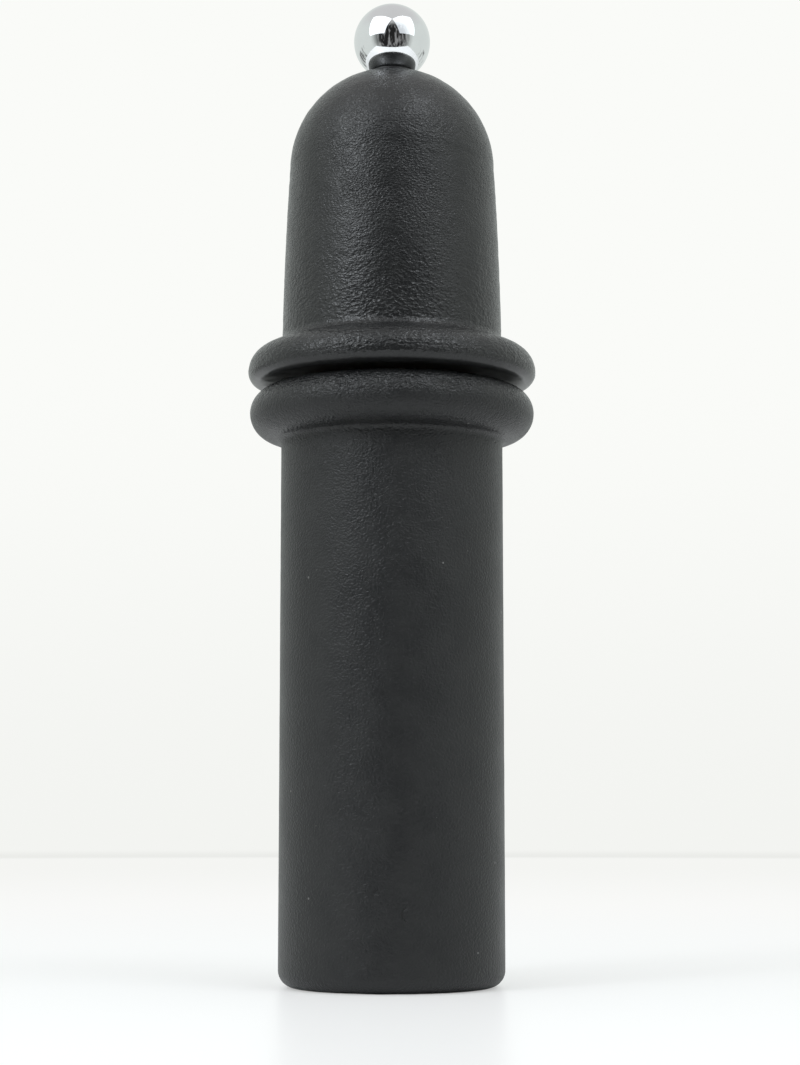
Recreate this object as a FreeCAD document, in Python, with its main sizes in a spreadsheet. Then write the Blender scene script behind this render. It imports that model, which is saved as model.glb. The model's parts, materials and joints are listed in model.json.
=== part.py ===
"""Pepper mill: turned wooden body and head, ball nut, square shaft and conical ceramic burrs.

Millimetres, +Z up. The origin is the centre of the base, on the surface that the mill stands on.
"""
import FreeCAD
import Part
import Sketcher

import math
import os

from FreeCAD import Placement, Rotation, Vector

LEFT = 1
RIGHT = -1
UP = Vector(0, 0, 1)
ORIGIN = (-1, 1)
ACROSS_AXIS = -1
UP_AXIS = -2

DRIVING = {
    # Clearances
    "running_gap": 0.05,
    "press_gap": 0.05,
    "loose_gap": 0.1,
    "washer_gap": 0.15,
    "seat_gap": 0.25,
    "cut_overrun": 1.0,
    # Turned body
    "body_radius": 23.0,
    "body_neck_radius": 22.95,
    "base_round": 3.5,
    "base_break": 0.4,
    "body_bead_radius": 29.45,
    "body_bead_height": 117.0,
    "body_bead_upper_round": 5.25,
    "body_bead_lower_round": 5.5,
    "body_cove_radius": 1.3,
    "bore_radius": 13.0,
    "mouth_break": 0.8,
    "recess_radius": 17.8,
    "recess_depth": 8.0,
    # Turned head
    "head_gap": 0.75,
    "head_bead_radius": 29.9,
    "head_bead_height": 125.6,
    "head_bead_upper_round": 5.55,
    "head_cove_radius": 2.4,
    "head_foot_radius": 22.85,
    "head_wall_curve": 800.0,
    "dome_radius": 21.45,
    "dome_centre_height": 169.1,
    "seat_radius": 4.9,
    "spigot_radius": 12.7,
    "spigot_length": 13.7,
    "spigot_break": 0.5,
    "ring_groove_radius": 12.0,
    "ring_groove_length": 8.3,
    "shaft_bore_radius": 4.8,
    "shaft_bore_top": 181.0,
    # Ball nut, its washer and the eyelet below it
    "ball_radius": 8.05,
    "ball_centre_height": 197.05,
    "thread_radius": 2.45,
    "thread_bore_top": 202.8,
    "nut_washer_radius": 4.7,
    "nut_washer_thickness": 0.4,
    "eyelet_flange_radius": 4.3,
    "eyelet_flange_thickness": 0.6,
    "eyelet_tube_radius": 3.5,
    "eyelet_length": 8.0,
    # Glide ring
    "ring_flange_radius": 16.0,
    "ring_slit": 0.8,
    # Drive plate and its screws
    "plate_radius": 11.2,
    "plate_thickness": 1.5,
    "plate_screw_circle": 8.0,
    "plate_screw_count": 3,
    "plate_screw_radius": 1.1,
    "plate_screw_head_radius": 2.2,
    "plate_screw_length": 9.5,
    # Shaft
    "shaft_side": 6.0,
    "shaft_corner": 0.5,
    "shaft_square_top": 177.4,
    "shaft_top": 201.2,
    "shaft_end_break": 0.6,
    "shaft_tang_side": 4.0,
    "journal_radius": 1.9,
    "journal_bottom": 3.2,
    "clip_groove_radius": 1.45,
    # Grooves of both burrs: how far a cutter stands out of the surface and runs past an edge
    "groove_margin": 0.6,
    "groove_overrun": 0.3,
    "tooth_runout": 0.9,
    # Rotor, its core and its clip
    "rotor_bottom": 15.5,
    "rotor_throat_height": 19.5,
    "rotor_top": 29.0,
    "rotor_foot_radius": 8.95,
    "rotor_throat_radius": 8.25,
    "rotor_top_radius": 5.4,
    "rotor_recess_radius": 5.3,
    "rotor_recess_depth": 1.5,
    "rotor_tooth_count": 20,
    "rotor_tooth_depth": 0.9,
    "rotor_tooth_half_width": 0.8,
    "rotor_tooth_end_depth": 0.36,
    "rotor_tooth_end_half_width": 0.4,
    "rotor_tooth_twist": 18.0,
    "rotor_feed_count": 5,
    "rotor_feed_end_depth": 0.32,
    "rotor_feed_end_half_width": 0.45,
    "rotor_feed_depth": 1.3,
    "rotor_feed_half_width": 1.3,
    "rotor_feed_mouth_depth": 0.85,
    "rotor_feed_mouth_half_width": 1.2,
    "rotor_feed_twist": 30.0,
    "core_hex_width": 7.0,
    "core_flange_radius": 5.1,
    "core_flange_thickness": 0.8,
    "clip_radius": 3.6,
    "clip_thickness": 0.6,
    "clip_opening": 2.4,
    # Spring and its two washers
    "thrust_washer_radius": 6.2,
    "thrust_washer_bore": 2.5,
    "thrust_washer_thickness": 0.8,
    "spring_radius": 4.3,
    "spring_wire_radius": 0.45,
    "spring_turns": 4.5,
    "spring_seat_radius": 5.6,
    "spring_seat_thickness": 0.6,
    "spring_seat_rim": 1.1,
    # Stator, its housing and its retaining ring
    "stator_bottom": 15.0,
    "stator_throat_height": 19.5,
    "stator_top": 27.0,
    "stator_radius": 11.8,
    "stator_foot_radius": 9.5,
    "stator_throat_radius": 8.7,
    "stator_mouth_radius": 10.3,
    "stator_edge_break": 0.4,
    "stator_tooth_count": 24,
    "stator_tooth_depth": 0.8,
    "stator_tooth_half_width": 0.65,
    "stator_tooth_end_depth": 0.32,
    "stator_tooth_end_half_width": 0.32,
    "stator_tooth_twist": 10.0,
    "stator_feed_count": 8,
    "stator_feed_end_depth": 0.22,
    "stator_feed_end_half_width": 0.3,
    "stator_feed_depth": 0.75,
    "stator_feed_half_width": 0.75,
    "stator_feed_mouth_half_width": 0.9,
    "stator_feed_twist": 12.0,
    "lug_count": 3,
    "lug_radius": 12.35,
    "lug_width": 3.0,
    "lug_height": 4.0,
    "lug_angle": 90.0,
    "sleeve_radius": 12.6,
    "sleeve_top": 29.5,
    "sleeve_lip_radius": 10.45,
    "sleeve_mouth_radius": 11.6,
    "housing_flange_radius": 17.6,
    "housing_flange_thickness": 1.5,
    "housing_rib_count": 18,
    "housing_rib_radius": 12.95,
    "housing_rib_half_width": 0.4,
    "housing_rib_top": 27.5,
    "retainer_bore": 10.2,
    "retainer_height": 2.0,
    "retainer_break": 0.6,
    # Crossbar and its screws
    "crossbar_thickness": 1.5,
    "crossbar_half_width": 3.6,
    "crossbar_half_length": 17.2,
    "crossbar_eye_radius": 6.5,
    "bar_screw_circle": 15.0,
    "bar_screw_count": 2,
    "bar_screw_radius": 1.2,
    "bar_screw_hole_radius": 1.45,
    "bar_screw_head_radius": 2.3,
    "bar_screw_head_height": 1.7,
    "bar_screw_length": 11.0,
    "screw_point": 2.0,
}


class Size:
    """A number together with the sheet formula that gives it."""

    def __init__(self, value, formula):
        self.value = value
        self.formula = formula

    def _join(self, sign, other, value):
        return Size(value, f"({self.formula} {sign} {formula_of(other)})")

    def __add__(self, other):
        return self._join("+", other, self.value + value_of(other))

    def __sub__(self, other):
        return self._join("-", other, self.value - value_of(other))

    def __mul__(self, other):
        return self._join("*", other, self.value * value_of(other))

    def __truediv__(self, other):
        return self._join("/", other, self.value / value_of(other))

    def __neg__(self):
        return Size(-self.value, f"(-{self.formula})")

    def root(self):
        return Size(math.sqrt(self.value), f"sqrt({self.formula})")


def value_of(size):
    return size.value if isinstance(size, Size) else size


def formula_of(size):
    return size.formula if isinstance(size, Size) else str(size)


class Dimensions:
    """The sheet's cells, each as a Size under its own name."""

    def __init__(self, sheet, driving):
        for row, (name, value) in enumerate(driving.items(), start=1):
            sheet.set(f"A{row}", name)
            sheet.set(f"B{row}", str(value))
            sheet.setAlias(f"B{row}", name)
        sheet.recompute()
        for name in driving:
            setattr(self, name, Size(float(sheet.get(name)), f"{sheet.Name}.{name}"))


doc = FreeCAD.newDocument("pepper_mill")
d = Dimensions(doc.addObject("Spreadsheet::Sheet", "dims"), DRIVING)

# Heights that several pieces share, from the base upwards
ledge = d.recess_depth
flange_bottom = ledge - d.housing_flange_thickness
crossbar_bottom = flange_bottom - d.crossbar_thickness
spring_bottom = flange_bottom + d.spring_seat_thickness
spring_top = d.rotor_bottom - d.thrust_washer_thickness
core_bottom = d.rotor_bottom + d.rotor_recess_depth - d.core_flange_thickness
clip_bottom = core_bottom - d.clip_thickness
body_top = d.body_bead_height + d.body_bead_upper_round
head_bottom = body_top + d.head_gap
spigot_bottom = head_bottom - d.spigot_length
plate_top = spigot_bottom + d.plate_thickness
ring_groove_bottom = head_bottom - d.ring_groove_length
seat_height = d.dome_centre_height + (d.dome_radius * d.dome_radius - d.seat_radius * d.seat_radius).root()
eyelet_top = seat_height
nut_bottom = seat_height + d.nut_washer_thickness
stator_bore = d.stator_radius + d.press_gap


def bind(feature, name, size):
    """Set a property and tie it to the sheet."""
    setattr(feature, name, value_of(size))
    if isinstance(size, Size):
        feature.setExpression(name, size.formula)


def new_body(label, several_solids=False):
    body = doc.addObject("PartDesign::Body", label)
    body.Label = label
    body.AllowCompound = several_solids
    return body


def origin_feature(body, role):
    return next(feature for feature in body.Origin.OriginFeatures if feature.Role == role)


def new_sketch(body, name, plane, lift=0, shift=0, turn=0):
    """Sketch on one of the body's own planes, moved along its normal or across, or turned in it."""
    sketch = body.newObject("Sketcher::SketchObject", name)
    sketch.AttachmentSupport = [(origin_feature(body, plane), "")]
    sketch.MapMode = "FlatFace"
    base = Vector(value_of(shift), 0, value_of(lift))
    sketch.AttachmentOffset = Placement(base, Rotation(UP, value_of(turn)))
    places = {"Base.x": shift, "Base.z": lift, "Rotation.Angle": turn}
    for place, size in places.items():
        if isinstance(size, Size):
            sketch.setExpression(f"AttachmentOffset.{place}", size.formula)
    return sketch


def constrain(sketch, kind, ends, size):
    index = sketch.addConstraint(Sketcher.Constraint(kind, *ends, value_of(size)))
    if isinstance(size, Size):
        sketch.setExpression(f"Constraints[{index}]", size.formula)


def place_point(sketch, point, across, up):
    """Hold a sketch point at its two coordinates."""
    if value_of(across) == 0 and value_of(up) == 0:
        sketch.addConstraint(Sketcher.Constraint("Coincident", *point, *ORIGIN))
        return
    for kind, axis, size in (("DistanceX", UP_AXIS, across), ("DistanceY", ACROSS_AXIS, up)):
        if value_of(size) == 0:
            sketch.addConstraint(Sketcher.Constraint("PointOnObject", *point, axis))
        else:
            constrain(sketch, kind, (*ORIGIN, *point), size)


def arc_between(first, last, radius, side):
    """Arc of less than half a circle, with its centre to the left or right of the way along it."""
    along = last - first
    rise = math.sqrt(radius ** 2 - (along.Length / 2) ** 2)
    centre = (first + last) * 0.5 + Vector(-along.y, along.x, 0).normalize() * (side * rise)
    ends = (first, last) if side == LEFT else (last, first)
    angles = [math.atan2(end.y - centre.y, end.x - centre.x) for end in ends]
    return Part.ArcOfCircle(Part.Circle(centre, UP, radius), *angles)


def draw_outline(sketch, corners):
    """Closed outline. A corner is (across, up); an arc that ends there adds (radius, side)."""
    points = [Vector(value_of(corner[0]), value_of(corner[1]), 0) for corner in corners]
    starts = []
    ends = []
    for index, corner in enumerate(corners):
        first = points[index - 1]
        last = points[index]
        if len(corner) == 2:
            edge = sketch.addGeometry(Part.LineSegment(first, last))
            order = (1, 2)
        else:
            radius, side = corner[2:]
            edge = sketch.addGeometry(arc_between(first, last, value_of(radius), side))
            order = (1, 2) if side == LEFT else (2, 1)
        starts.append((edge, order[0]))
        ends.append((edge, order[1]))
    for index, corner in enumerate(corners):
        following = starts[(index + 1) % len(corners)]
        sketch.addConstraint(Sketcher.Constraint("Coincident", *ends[index], *following))
        place_point(sketch, ends[index], corner[0], corner[1])
        if len(corner) == 4:
            constrain(sketch, "Radius", ends[index][:1], corner[2])


def draw_circles(sketch, *circles):
    """Circles, each a (radius, across, up)."""
    for radius, across, up in circles:
        centre = Vector(value_of(across), value_of(up), 0)
        edge = sketch.addGeometry(Part.Circle(centre, UP, value_of(radius)))
        place_point(sketch, (edge, 3), across, up)
        constrain(sketch, "Radius", (edge,), radius)


def rectangle(left, right, half_width):
    return [(left, -half_width), (right, -half_width), (right, half_width), (left, half_width)]


def revolve(body, name, corners, shift=0):
    """Turn an outline about an upright axis."""
    sketch = new_sketch(body, f"{name}_outline", "XZ_Plane", shift=shift)
    draw_outline(sketch, corners)
    feature = body.newObject("PartDesign::Revolution", name)
    feature.Profile = sketch
    feature.ReferenceAxis = (sketch, ["V_Axis"])
    feature.Angle = 360
    return feature


def extrude(body, name, bottom, height, corners=None, circles=(), turn=0, cut=False):
    """Raise a flat outline or circles from a height, as added or removed material."""
    sketch = new_sketch(body, f"{name}_outline", "XY_Plane", lift=bottom, turn=turn)
    if corners:
        draw_outline(sketch, corners)
    draw_circles(sketch, *circles)
    feature = body.newObject("PartDesign::Pocket" if cut else "PartDesign::Pad", name)
    feature.Profile = sketch
    feature.Reversed = cut
    bind(feature, "Length", height)
    return feature


def cut_groove(body, name, sections, ruled):
    """Twisted V groove through sections of (height, tip radius, rim radius, half width, angle)."""
    sketches = []
    for index, (height, tip, rim, half_width, angle) in enumerate(sections):
        sketch = new_sketch(body, f"{name}_section_{index}", "XY_Plane", lift=height, turn=angle)
        draw_outline(sketch, [(tip, 0), (rim, -half_width), (rim, half_width)])
        sketches.append(sketch)
    feature = body.newObject("PartDesign::SubtractiveLoft", name)
    feature.Profile = sketches[0]
    feature.Sections = sketches[1:]
    feature.Ruled = ruled
    return feature


def repeat_around(body, name, feature, count):
    pattern = body.newObject("PartDesign::PolarPattern", name)
    pattern.Originals = [feature]
    pattern.Axis = (origin_feature(body, "Z_Axis"), [""])
    pattern.Angle = 360
    pattern.Occurrences = round(count.value)
    pattern.setExpression("Occurrences", count.formula)
    body.Tip = pattern


def ring(label, bore, radius, bottom, height):
    body = new_body(label)
    extrude(body, "ring", bottom, height, circles=[(bore, 0, 0), (radius, 0, 0)])
    return body


def cove_place(round_radius, cove_radius, offset):
    """Height of a cove's centre from a round's, and the round's share of the way to where they touch."""
    reach = round_radius + cove_radius
    return (reach * reach - offset * offset).root(), round_radius / reach


def make_body():
    """Turned body: straight wall, small cove, bead, a bore through it and a recess in its base."""
    body = new_body("body")
    bead_round = d.body_bead_lower_round
    bead_centre = d.body_bead_radius - bead_round
    offset = d.body_neck_radius + d.body_cove_radius - bead_centre
    cove_drop, share = cove_place(bead_round, d.body_cove_radius, offset)

    revolve(body, "turning", [
        (d.recess_radius + d.base_break, 0),
        (d.body_radius - d.base_round, 0),
        (d.body_radius, d.base_round, d.base_round, LEFT),
        (d.body_neck_radius, d.body_bead_height - cove_drop),
        (bead_centre + offset * share, d.body_bead_height - cove_drop * share, d.body_cove_radius, RIGHT),
        (d.body_bead_radius, d.body_bead_height, bead_round, LEFT),
        (d.body_bead_radius - d.body_bead_upper_round, body_top, d.body_bead_upper_round, LEFT),
        (d.bore_radius + d.mouth_break, body_top),
        (d.bore_radius, body_top - d.mouth_break),
        (d.bore_radius, ledge),
        (d.recess_radius, ledge),
        (d.recess_radius, d.base_break),
    ])
    depth = d.bar_screw_length - d.crossbar_thickness - d.housing_flange_thickness + d.loose_gap
    pilot = (d.bar_screw_radius + d.press_gap, d.bar_screw_circle, 0)
    hole = extrude(body, "pilot_hole", ledge, depth, circles=[pilot], cut=True)
    repeat_around(body, "pilot_holes", hole, d.bar_screw_count)
    return body


def make_head():
    """Turned head: bead, cove, slightly swelling wall, dome, and a spigot with a groove for the ring."""
    body = new_body("head")
    bead_round = d.head_bead_upper_round
    bead_centre = d.head_bead_radius - bead_round
    offset = d.head_foot_radius + d.head_cove_radius - bead_centre
    cove_rise, share = cove_place(bead_round, d.head_cove_radius, offset)
    lower_round = d.head_bead_height - head_bottom
    flange_seat = seat_height - d.eyelet_flange_thickness
    eyelet_hole = d.eyelet_tube_radius + d.press_gap
    plate_seat = d.plate_radius + d.loose_gap
    revolve(body, "turning", [
        (plate_seat, spigot_bottom),
        (d.spigot_radius - d.spigot_break, spigot_bottom),
        (d.spigot_radius, spigot_bottom + d.spigot_break),
        (d.spigot_radius, ring_groove_bottom),
        (d.ring_groove_radius, ring_groove_bottom),
        (d.ring_groove_radius, head_bottom),
        (d.head_bead_radius - lower_round, head_bottom),
        (d.head_bead_radius, d.head_bead_height, lower_round, LEFT),
        (bead_centre + offset * share, d.head_bead_height + cove_rise * share, bead_round, LEFT),
        (d.head_foot_radius, d.head_bead_height + cove_rise, d.head_cove_radius, RIGHT),
        (d.dome_radius, d.dome_centre_height, d.head_wall_curve, LEFT),
        (d.seat_radius, seat_height, d.dome_radius, LEFT),
        (d.eyelet_flange_radius + d.press_gap, seat_height),
        (d.eyelet_flange_radius + d.press_gap, flange_seat),
        (eyelet_hole, flange_seat),
        (eyelet_hole, d.shaft_bore_top),
        (d.shaft_bore_radius, d.shaft_bore_top),
        (d.shaft_bore_radius, plate_top),
        (plate_seat, plate_top),
    ])
    pilot = (d.plate_screw_radius + d.press_gap, d.plate_screw_circle, 0)
    depth = d.plate_screw_length - d.plate_thickness + d.loose_gap
    hole = extrude(body, "pilot_hole", plate_top, depth, circles=[pilot], cut=True)
    repeat_around(body, "pilot_holes", hole, d.plate_screw_count)
    return body


def make_ball_nut():
    """Ball with a flat under it and a blind threaded bore, drawn at the thread's outer radius."""
    body = new_body("ball_nut")
    drop = d.ball_centre_height - nut_bottom
    flat_radius = (d.ball_radius * d.ball_radius - drop * drop).root()
    bore = d.thread_radius + d.running_gap
    revolve(body, "ball", [
        (bore, nut_bottom),
        (flat_radius, nut_bottom),
        (0, d.ball_centre_height + d.ball_radius, d.ball_radius, LEFT),
        (0, d.thread_bore_top),
        (bore, d.thread_bore_top),
    ])
    return body


def make_nut_washer():
    bore = d.thread_radius + d.washer_gap
    return ring("nut_washer", bore, d.nut_washer_radius, seat_height, d.nut_washer_thickness)


def make_head_eyelet():
    body = new_body("head_eyelet")
    bore = d.thread_radius + d.loose_gap
    flange_bottom_height = eyelet_top - d.eyelet_flange_thickness
    revolve(body, "eyelet", [
        (bore, eyelet_top - d.eyelet_length),
        (d.eyelet_tube_radius, eyelet_top - d.eyelet_length),
        (d.eyelet_tube_radius, flange_bottom_height),
        (d.eyelet_flange_radius, flange_bottom_height),
        (d.eyelet_flange_radius, eyelet_top),
        (bore, eyelet_top),
    ])
    return body


def make_glide_ring():
    """Split nylon ring: a sleeve that centres the spigot and a flange that the head turns on."""
    body = new_body("glide_ring")
    inner = d.ring_groove_radius + d.loose_gap
    outer = d.bore_radius - d.running_gap
    bottom = ring_groove_bottom + d.loose_gap
    top = head_bottom - d.running_gap
    revolve(body, "ring", [
        (inner, bottom),
        (outer, bottom),
        (outer, body_top),
        (d.ring_flange_radius, body_top),
        (d.ring_flange_radius, top),
        (inner, top),
    ])
    slit = rectangle(d.ring_groove_radius, d.ring_flange_radius + d.cut_overrun, d.ring_slit / 2)
    extrude(body, "slit", bottom, top - bottom, corners=slit, cut=True)
    return body


def make_drive_plate():
    body = new_body("drive_plate")
    extrude(body, "disc", spigot_bottom, d.plate_thickness, circles=[(d.plate_radius, 0, 0)])
    half = d.shaft_side / 2 + d.loose_gap
    square = rectangle(-half, half, half)
    extrude(body, "square_hole", spigot_bottom, d.plate_thickness, corners=square, cut=True)
    head_radius = d.plate_screw_head_radius + d.press_gap
    shank_radius = d.plate_screw_radius + d.press_gap
    sketch = new_sketch(body, "countersink_outline", "XZ_Plane", shift=d.plate_screw_circle)
    draw_outline(sketch, [
        (0, spigot_bottom),
        (head_radius, spigot_bottom),
        (shank_radius, spigot_bottom + head_radius - shank_radius),
        (shank_radius, plate_top),
        (0, plate_top),
    ])
    groove = body.newObject("PartDesign::Groove", "countersink")
    groove.Profile = sketch
    groove.ReferenceAxis = (sketch, ["V_Axis"])
    groove.Angle = 360
    repeat_around(body, "countersinks", groove, d.plate_screw_count)
    return body


def make_drive_plate_screws():
    body = new_body("drive_plate_screws", several_solids=True)
    top = spigot_bottom + d.plate_screw_length
    screw = revolve(body, "screw", [
        (0, spigot_bottom),
        (d.plate_screw_head_radius, spigot_bottom),
        (d.plate_screw_radius, spigot_bottom + d.plate_screw_head_radius - d.plate_screw_radius),
        (d.plate_screw_radius, top - d.screw_point),
        (0, top),
    ], shift=d.plate_screw_circle)
    repeat_around(body, "screws", screw, d.plate_screw_count)
    return body


def make_shaft():
    """Square bar, turned to a threaded round above and to a tang and a grooved journal below."""
    body = new_body("shaft")
    half = d.shaft_side / 2
    flat = half - d.shaft_corner
    extrude(body, "square", d.rotor_top, d.shaft_square_top - d.rotor_top, corners=[
        (half, -flat), (half, flat), (flat, half), (-flat, half),
        (-half, flat), (-half, -flat), (-flat, -half), (flat, -half),
    ])
    tang = d.shaft_tang_side / 2
    extrude(body, "tang", core_bottom, d.rotor_top - core_bottom, corners=rectangle(-tang, tang, tang))
    revolve(body, "threaded_end", [
        (0, d.shaft_square_top),
        (d.thread_radius, d.shaft_square_top),
        (d.thread_radius, d.shaft_top - d.shaft_end_break),
        (d.thread_radius - d.shaft_end_break, d.shaft_top),
        (0, d.shaft_top),
    ])
    revolve(body, "journal", [
        (0, d.journal_bottom),
        (d.journal_radius - d.shaft_end_break, d.journal_bottom),
        (d.journal_radius, d.journal_bottom + d.shaft_end_break),
        (d.journal_radius, clip_bottom),
        (d.clip_groove_radius, clip_bottom),
        (d.clip_groove_radius, core_bottom),
        (0, core_bottom),
    ])
    return body


def rotor_radius(height):
    """The rotor's radius on its tapering upper part."""
    taper = (d.rotor_throat_radius - d.rotor_top_radius) / (d.rotor_top - d.rotor_throat_height)
    return d.rotor_throat_radius - (height - d.rotor_throat_height) * taper


def stator_radius(height):
    """The stator's inner radius on its widening upper part."""
    taper = (d.stator_mouth_radius - d.stator_throat_radius) / (d.stator_top - d.stator_throat_height)
    return d.stator_throat_radius + (height - d.stator_throat_height) * taper


def groove_section(height, radius, depth, half_width, angle, outwards=False):
    """One V section: depth below the surface at radius, half_width at the surface."""
    side = 1 if outwards else -1
    tip = radius + depth * side
    rim = radius - d.groove_margin * side
    return (height, tip, rim, half_width * ((depth + d.groove_margin) / depth), angle)


def make_rotor():
    """Cone with steep feed grooves above and fine slanting teeth on its foot."""
    body = new_body("rotor")
    hex_radius = (d.core_hex_width + d.loose_gap) / math.sqrt(3)
    pilot = d.shaft_tang_side / 2
    recess_top = d.rotor_bottom + d.rotor_recess_depth
    revolve(body, "cone", [
        (d.rotor_recess_radius, d.rotor_bottom),
        (d.rotor_foot_radius, d.rotor_bottom),
        (d.rotor_throat_radius, d.rotor_throat_height),
        (d.rotor_top_radius, d.rotor_top),
        (pilot, d.rotor_top),
        (pilot, recess_top),
        (d.rotor_recess_radius, recess_top),
    ])
    extrude(body, "hex_hole", recess_top, d.rotor_top - recess_top, corners=hexagon(hex_radius), cut=True)
    end = (d.rotor_feed_end_depth, d.rotor_feed_end_half_width)
    trough = (d.rotor_feed_depth, d.rotor_feed_half_width)
    mouth = (d.rotor_feed_mouth_depth, d.rotor_feed_mouth_half_width)
    low = d.rotor_throat_height - d.groove_overrun
    middle = (d.rotor_throat_height + d.rotor_top) / 2
    high = d.rotor_top + d.groove_overrun
    feed = cut_groove(body, "feed_groove", [
        groove_section(low, rotor_radius(low), *end, 0),
        groove_section(middle, rotor_radius(middle), *trough, d.rotor_feed_twist),
        groove_section(high, rotor_radius(high), *mouth, d.rotor_feed_twist * 2),
    ], ruled=False)
    repeat_around(body, "feed_grooves", feed, d.rotor_feed_count)
    gap = (d.rotor_tooth_depth, d.rotor_tooth_half_width)
    end = (d.rotor_tooth_end_depth, d.rotor_tooth_end_half_width)
    low = d.rotor_bottom - d.groove_overrun
    high = d.rotor_throat_height + d.tooth_runout
    tooth = cut_groove(body, "tooth_gap", [
        groove_section(low, d.rotor_foot_radius, *gap, 0),
        groove_section(high, rotor_radius(high), *end, d.rotor_tooth_twist),
    ], ruled=True)
    repeat_around(body, "tooth_gaps", tooth, d.rotor_tooth_count)
    return body


def hexagon(radius):
    """Corners of a hexagon with two corners on the across axis."""
    rise = radius * (math.sqrt(3) / 2)
    half = radius / 2
    return [(radius, 0), (half, rise), (-half, rise), (-radius, 0), (-half, -rise), (half, -rise)]


def make_rotor_core():
    body = new_body("rotor_core")
    extrude(body, "flange", core_bottom, d.core_flange_thickness, circles=[(d.core_flange_radius, 0, 0)])
    hex_bottom = core_bottom + d.core_flange_thickness
    hex_radius = d.core_hex_width / math.sqrt(3)
    extrude(body, "hex", hex_bottom, d.rotor_top - hex_bottom, corners=hexagon(hex_radius))
    half = d.shaft_tang_side / 2 + d.press_gap
    square = rectangle(-half, half, half)
    extrude(body, "square_hole", core_bottom, d.rotor_top - core_bottom, corners=square, cut=True)
    return body


def make_retaining_clip():
    """Open clip that snaps into the journal's groove."""
    bore = d.clip_groove_radius + d.press_gap
    body = ring("retaining_clip", bore, d.clip_radius, clip_bottom, d.clip_thickness)
    opening = rectangle(bore / 2, d.clip_radius + d.cut_overrun, d.clip_opening / 2)
    extrude(body, "opening", clip_bottom, d.clip_thickness, corners=opening, cut=True)
    return body


def make_thrust_washer():
    thickness = d.thrust_washer_thickness
    return ring("thrust_washer", d.thrust_washer_bore, d.thrust_washer_radius, spring_top, thickness)


def make_spring_seat():
    body = new_body("spring_seat")
    bore = d.journal_radius + d.seat_gap
    inner = d.spring_seat_radius - d.spring_seat_thickness / 2
    revolve(body, "cup", [
        (bore, flange_bottom),
        (d.spring_seat_radius, flange_bottom),
        (d.spring_seat_radius, spring_bottom + d.spring_seat_rim),
        (inner, spring_bottom + d.spring_seat_rim),
        (inner, spring_bottom),
        (bore, spring_bottom),
    ])
    return body


def biarc(first, first_way, last, last_way):
    """Two arcs that leave one point along its direction and reach the other along its own."""
    chord = last - first
    ways = first_way + last_way
    square = ways.dot(ways) - 4
    half = chord.dot(ways)
    reach = (half - math.sqrt(half ** 2 - square * chord.dot(chord))) / square
    corners = (first + first_way * reach, last - last_way * reach)
    joint = (corners[0] + corners[1]) * 0.5
    arcs = []
    for start, corner, end in ((first, corners[0], joint), (joint, corners[1], last)):
        middle = (start + end) * 0.5
        half_chord = (end - start).Length / 2
        turn = 2 * math.atan2((corner - middle).Length, half_chord)
        crown = middle + (corner - middle).normalize() * (half_chord * math.tan(turn / 4))
        arcs.append(Part.Arc(start, crown, end).toShape())
    return arcs


def least_turn_gap(points, wire_radius, points_in_turn):
    """Least clear distance between stretches of wire that are at least half a turn apart."""
    apart = points_in_turn // 2
    pairs = ((a, b) for a in range(len(points)) for b in range(a + apart, len(points)))
    return min((points[a] - points[b]).Length for a, b in pairs) - 2 * wire_radius


def make_spring():
    """Open-ended compression spring: one wire along a helix of quarter-turn biarcs."""
    radius = d.spring_radius.value
    wire = d.spring_wire_radius.value
    turns = d.spring_turns.value
    low = spring_bottom.value + wire
    high = spring_top.value - wire
    climb = (high - low) / (2 * math.pi * turns)

    def point(angle):
        return Vector(radius * math.cos(angle), radius * math.sin(angle), low + climb * angle)

    def way(angle):
        return Vector(-radius * math.sin(angle), radius * math.cos(angle), climb).normalize()

    quarters = round(4 * turns)
    angles = [math.pi / 2 * index for index in range(quarters + 1)]
    edges = []
    for start, end in zip(angles, angles[1:]):
        edges += biarc(point(start), way(start), point(end), way(end))
    section = Part.Wire(Part.Circle(point(0), way(0), wire).toShape())
    spring = doc.addObject("Part::Feature", "spring")
    spring.Label = "spring"
    spring.Shape = Part.Wire(edges).makePipeShell([section], True, False)
    spring.Placement = Placement()
    points_in_turn = 24
    step = 2 * math.pi / points_in_turn
    points = [point(step * index) for index in range(round(turns * points_in_turn) + 1)]
    print(f"spring: least gap between turns {least_turn_gap(points, wire, points_in_turn):.2f} mm")
    return spring


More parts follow.
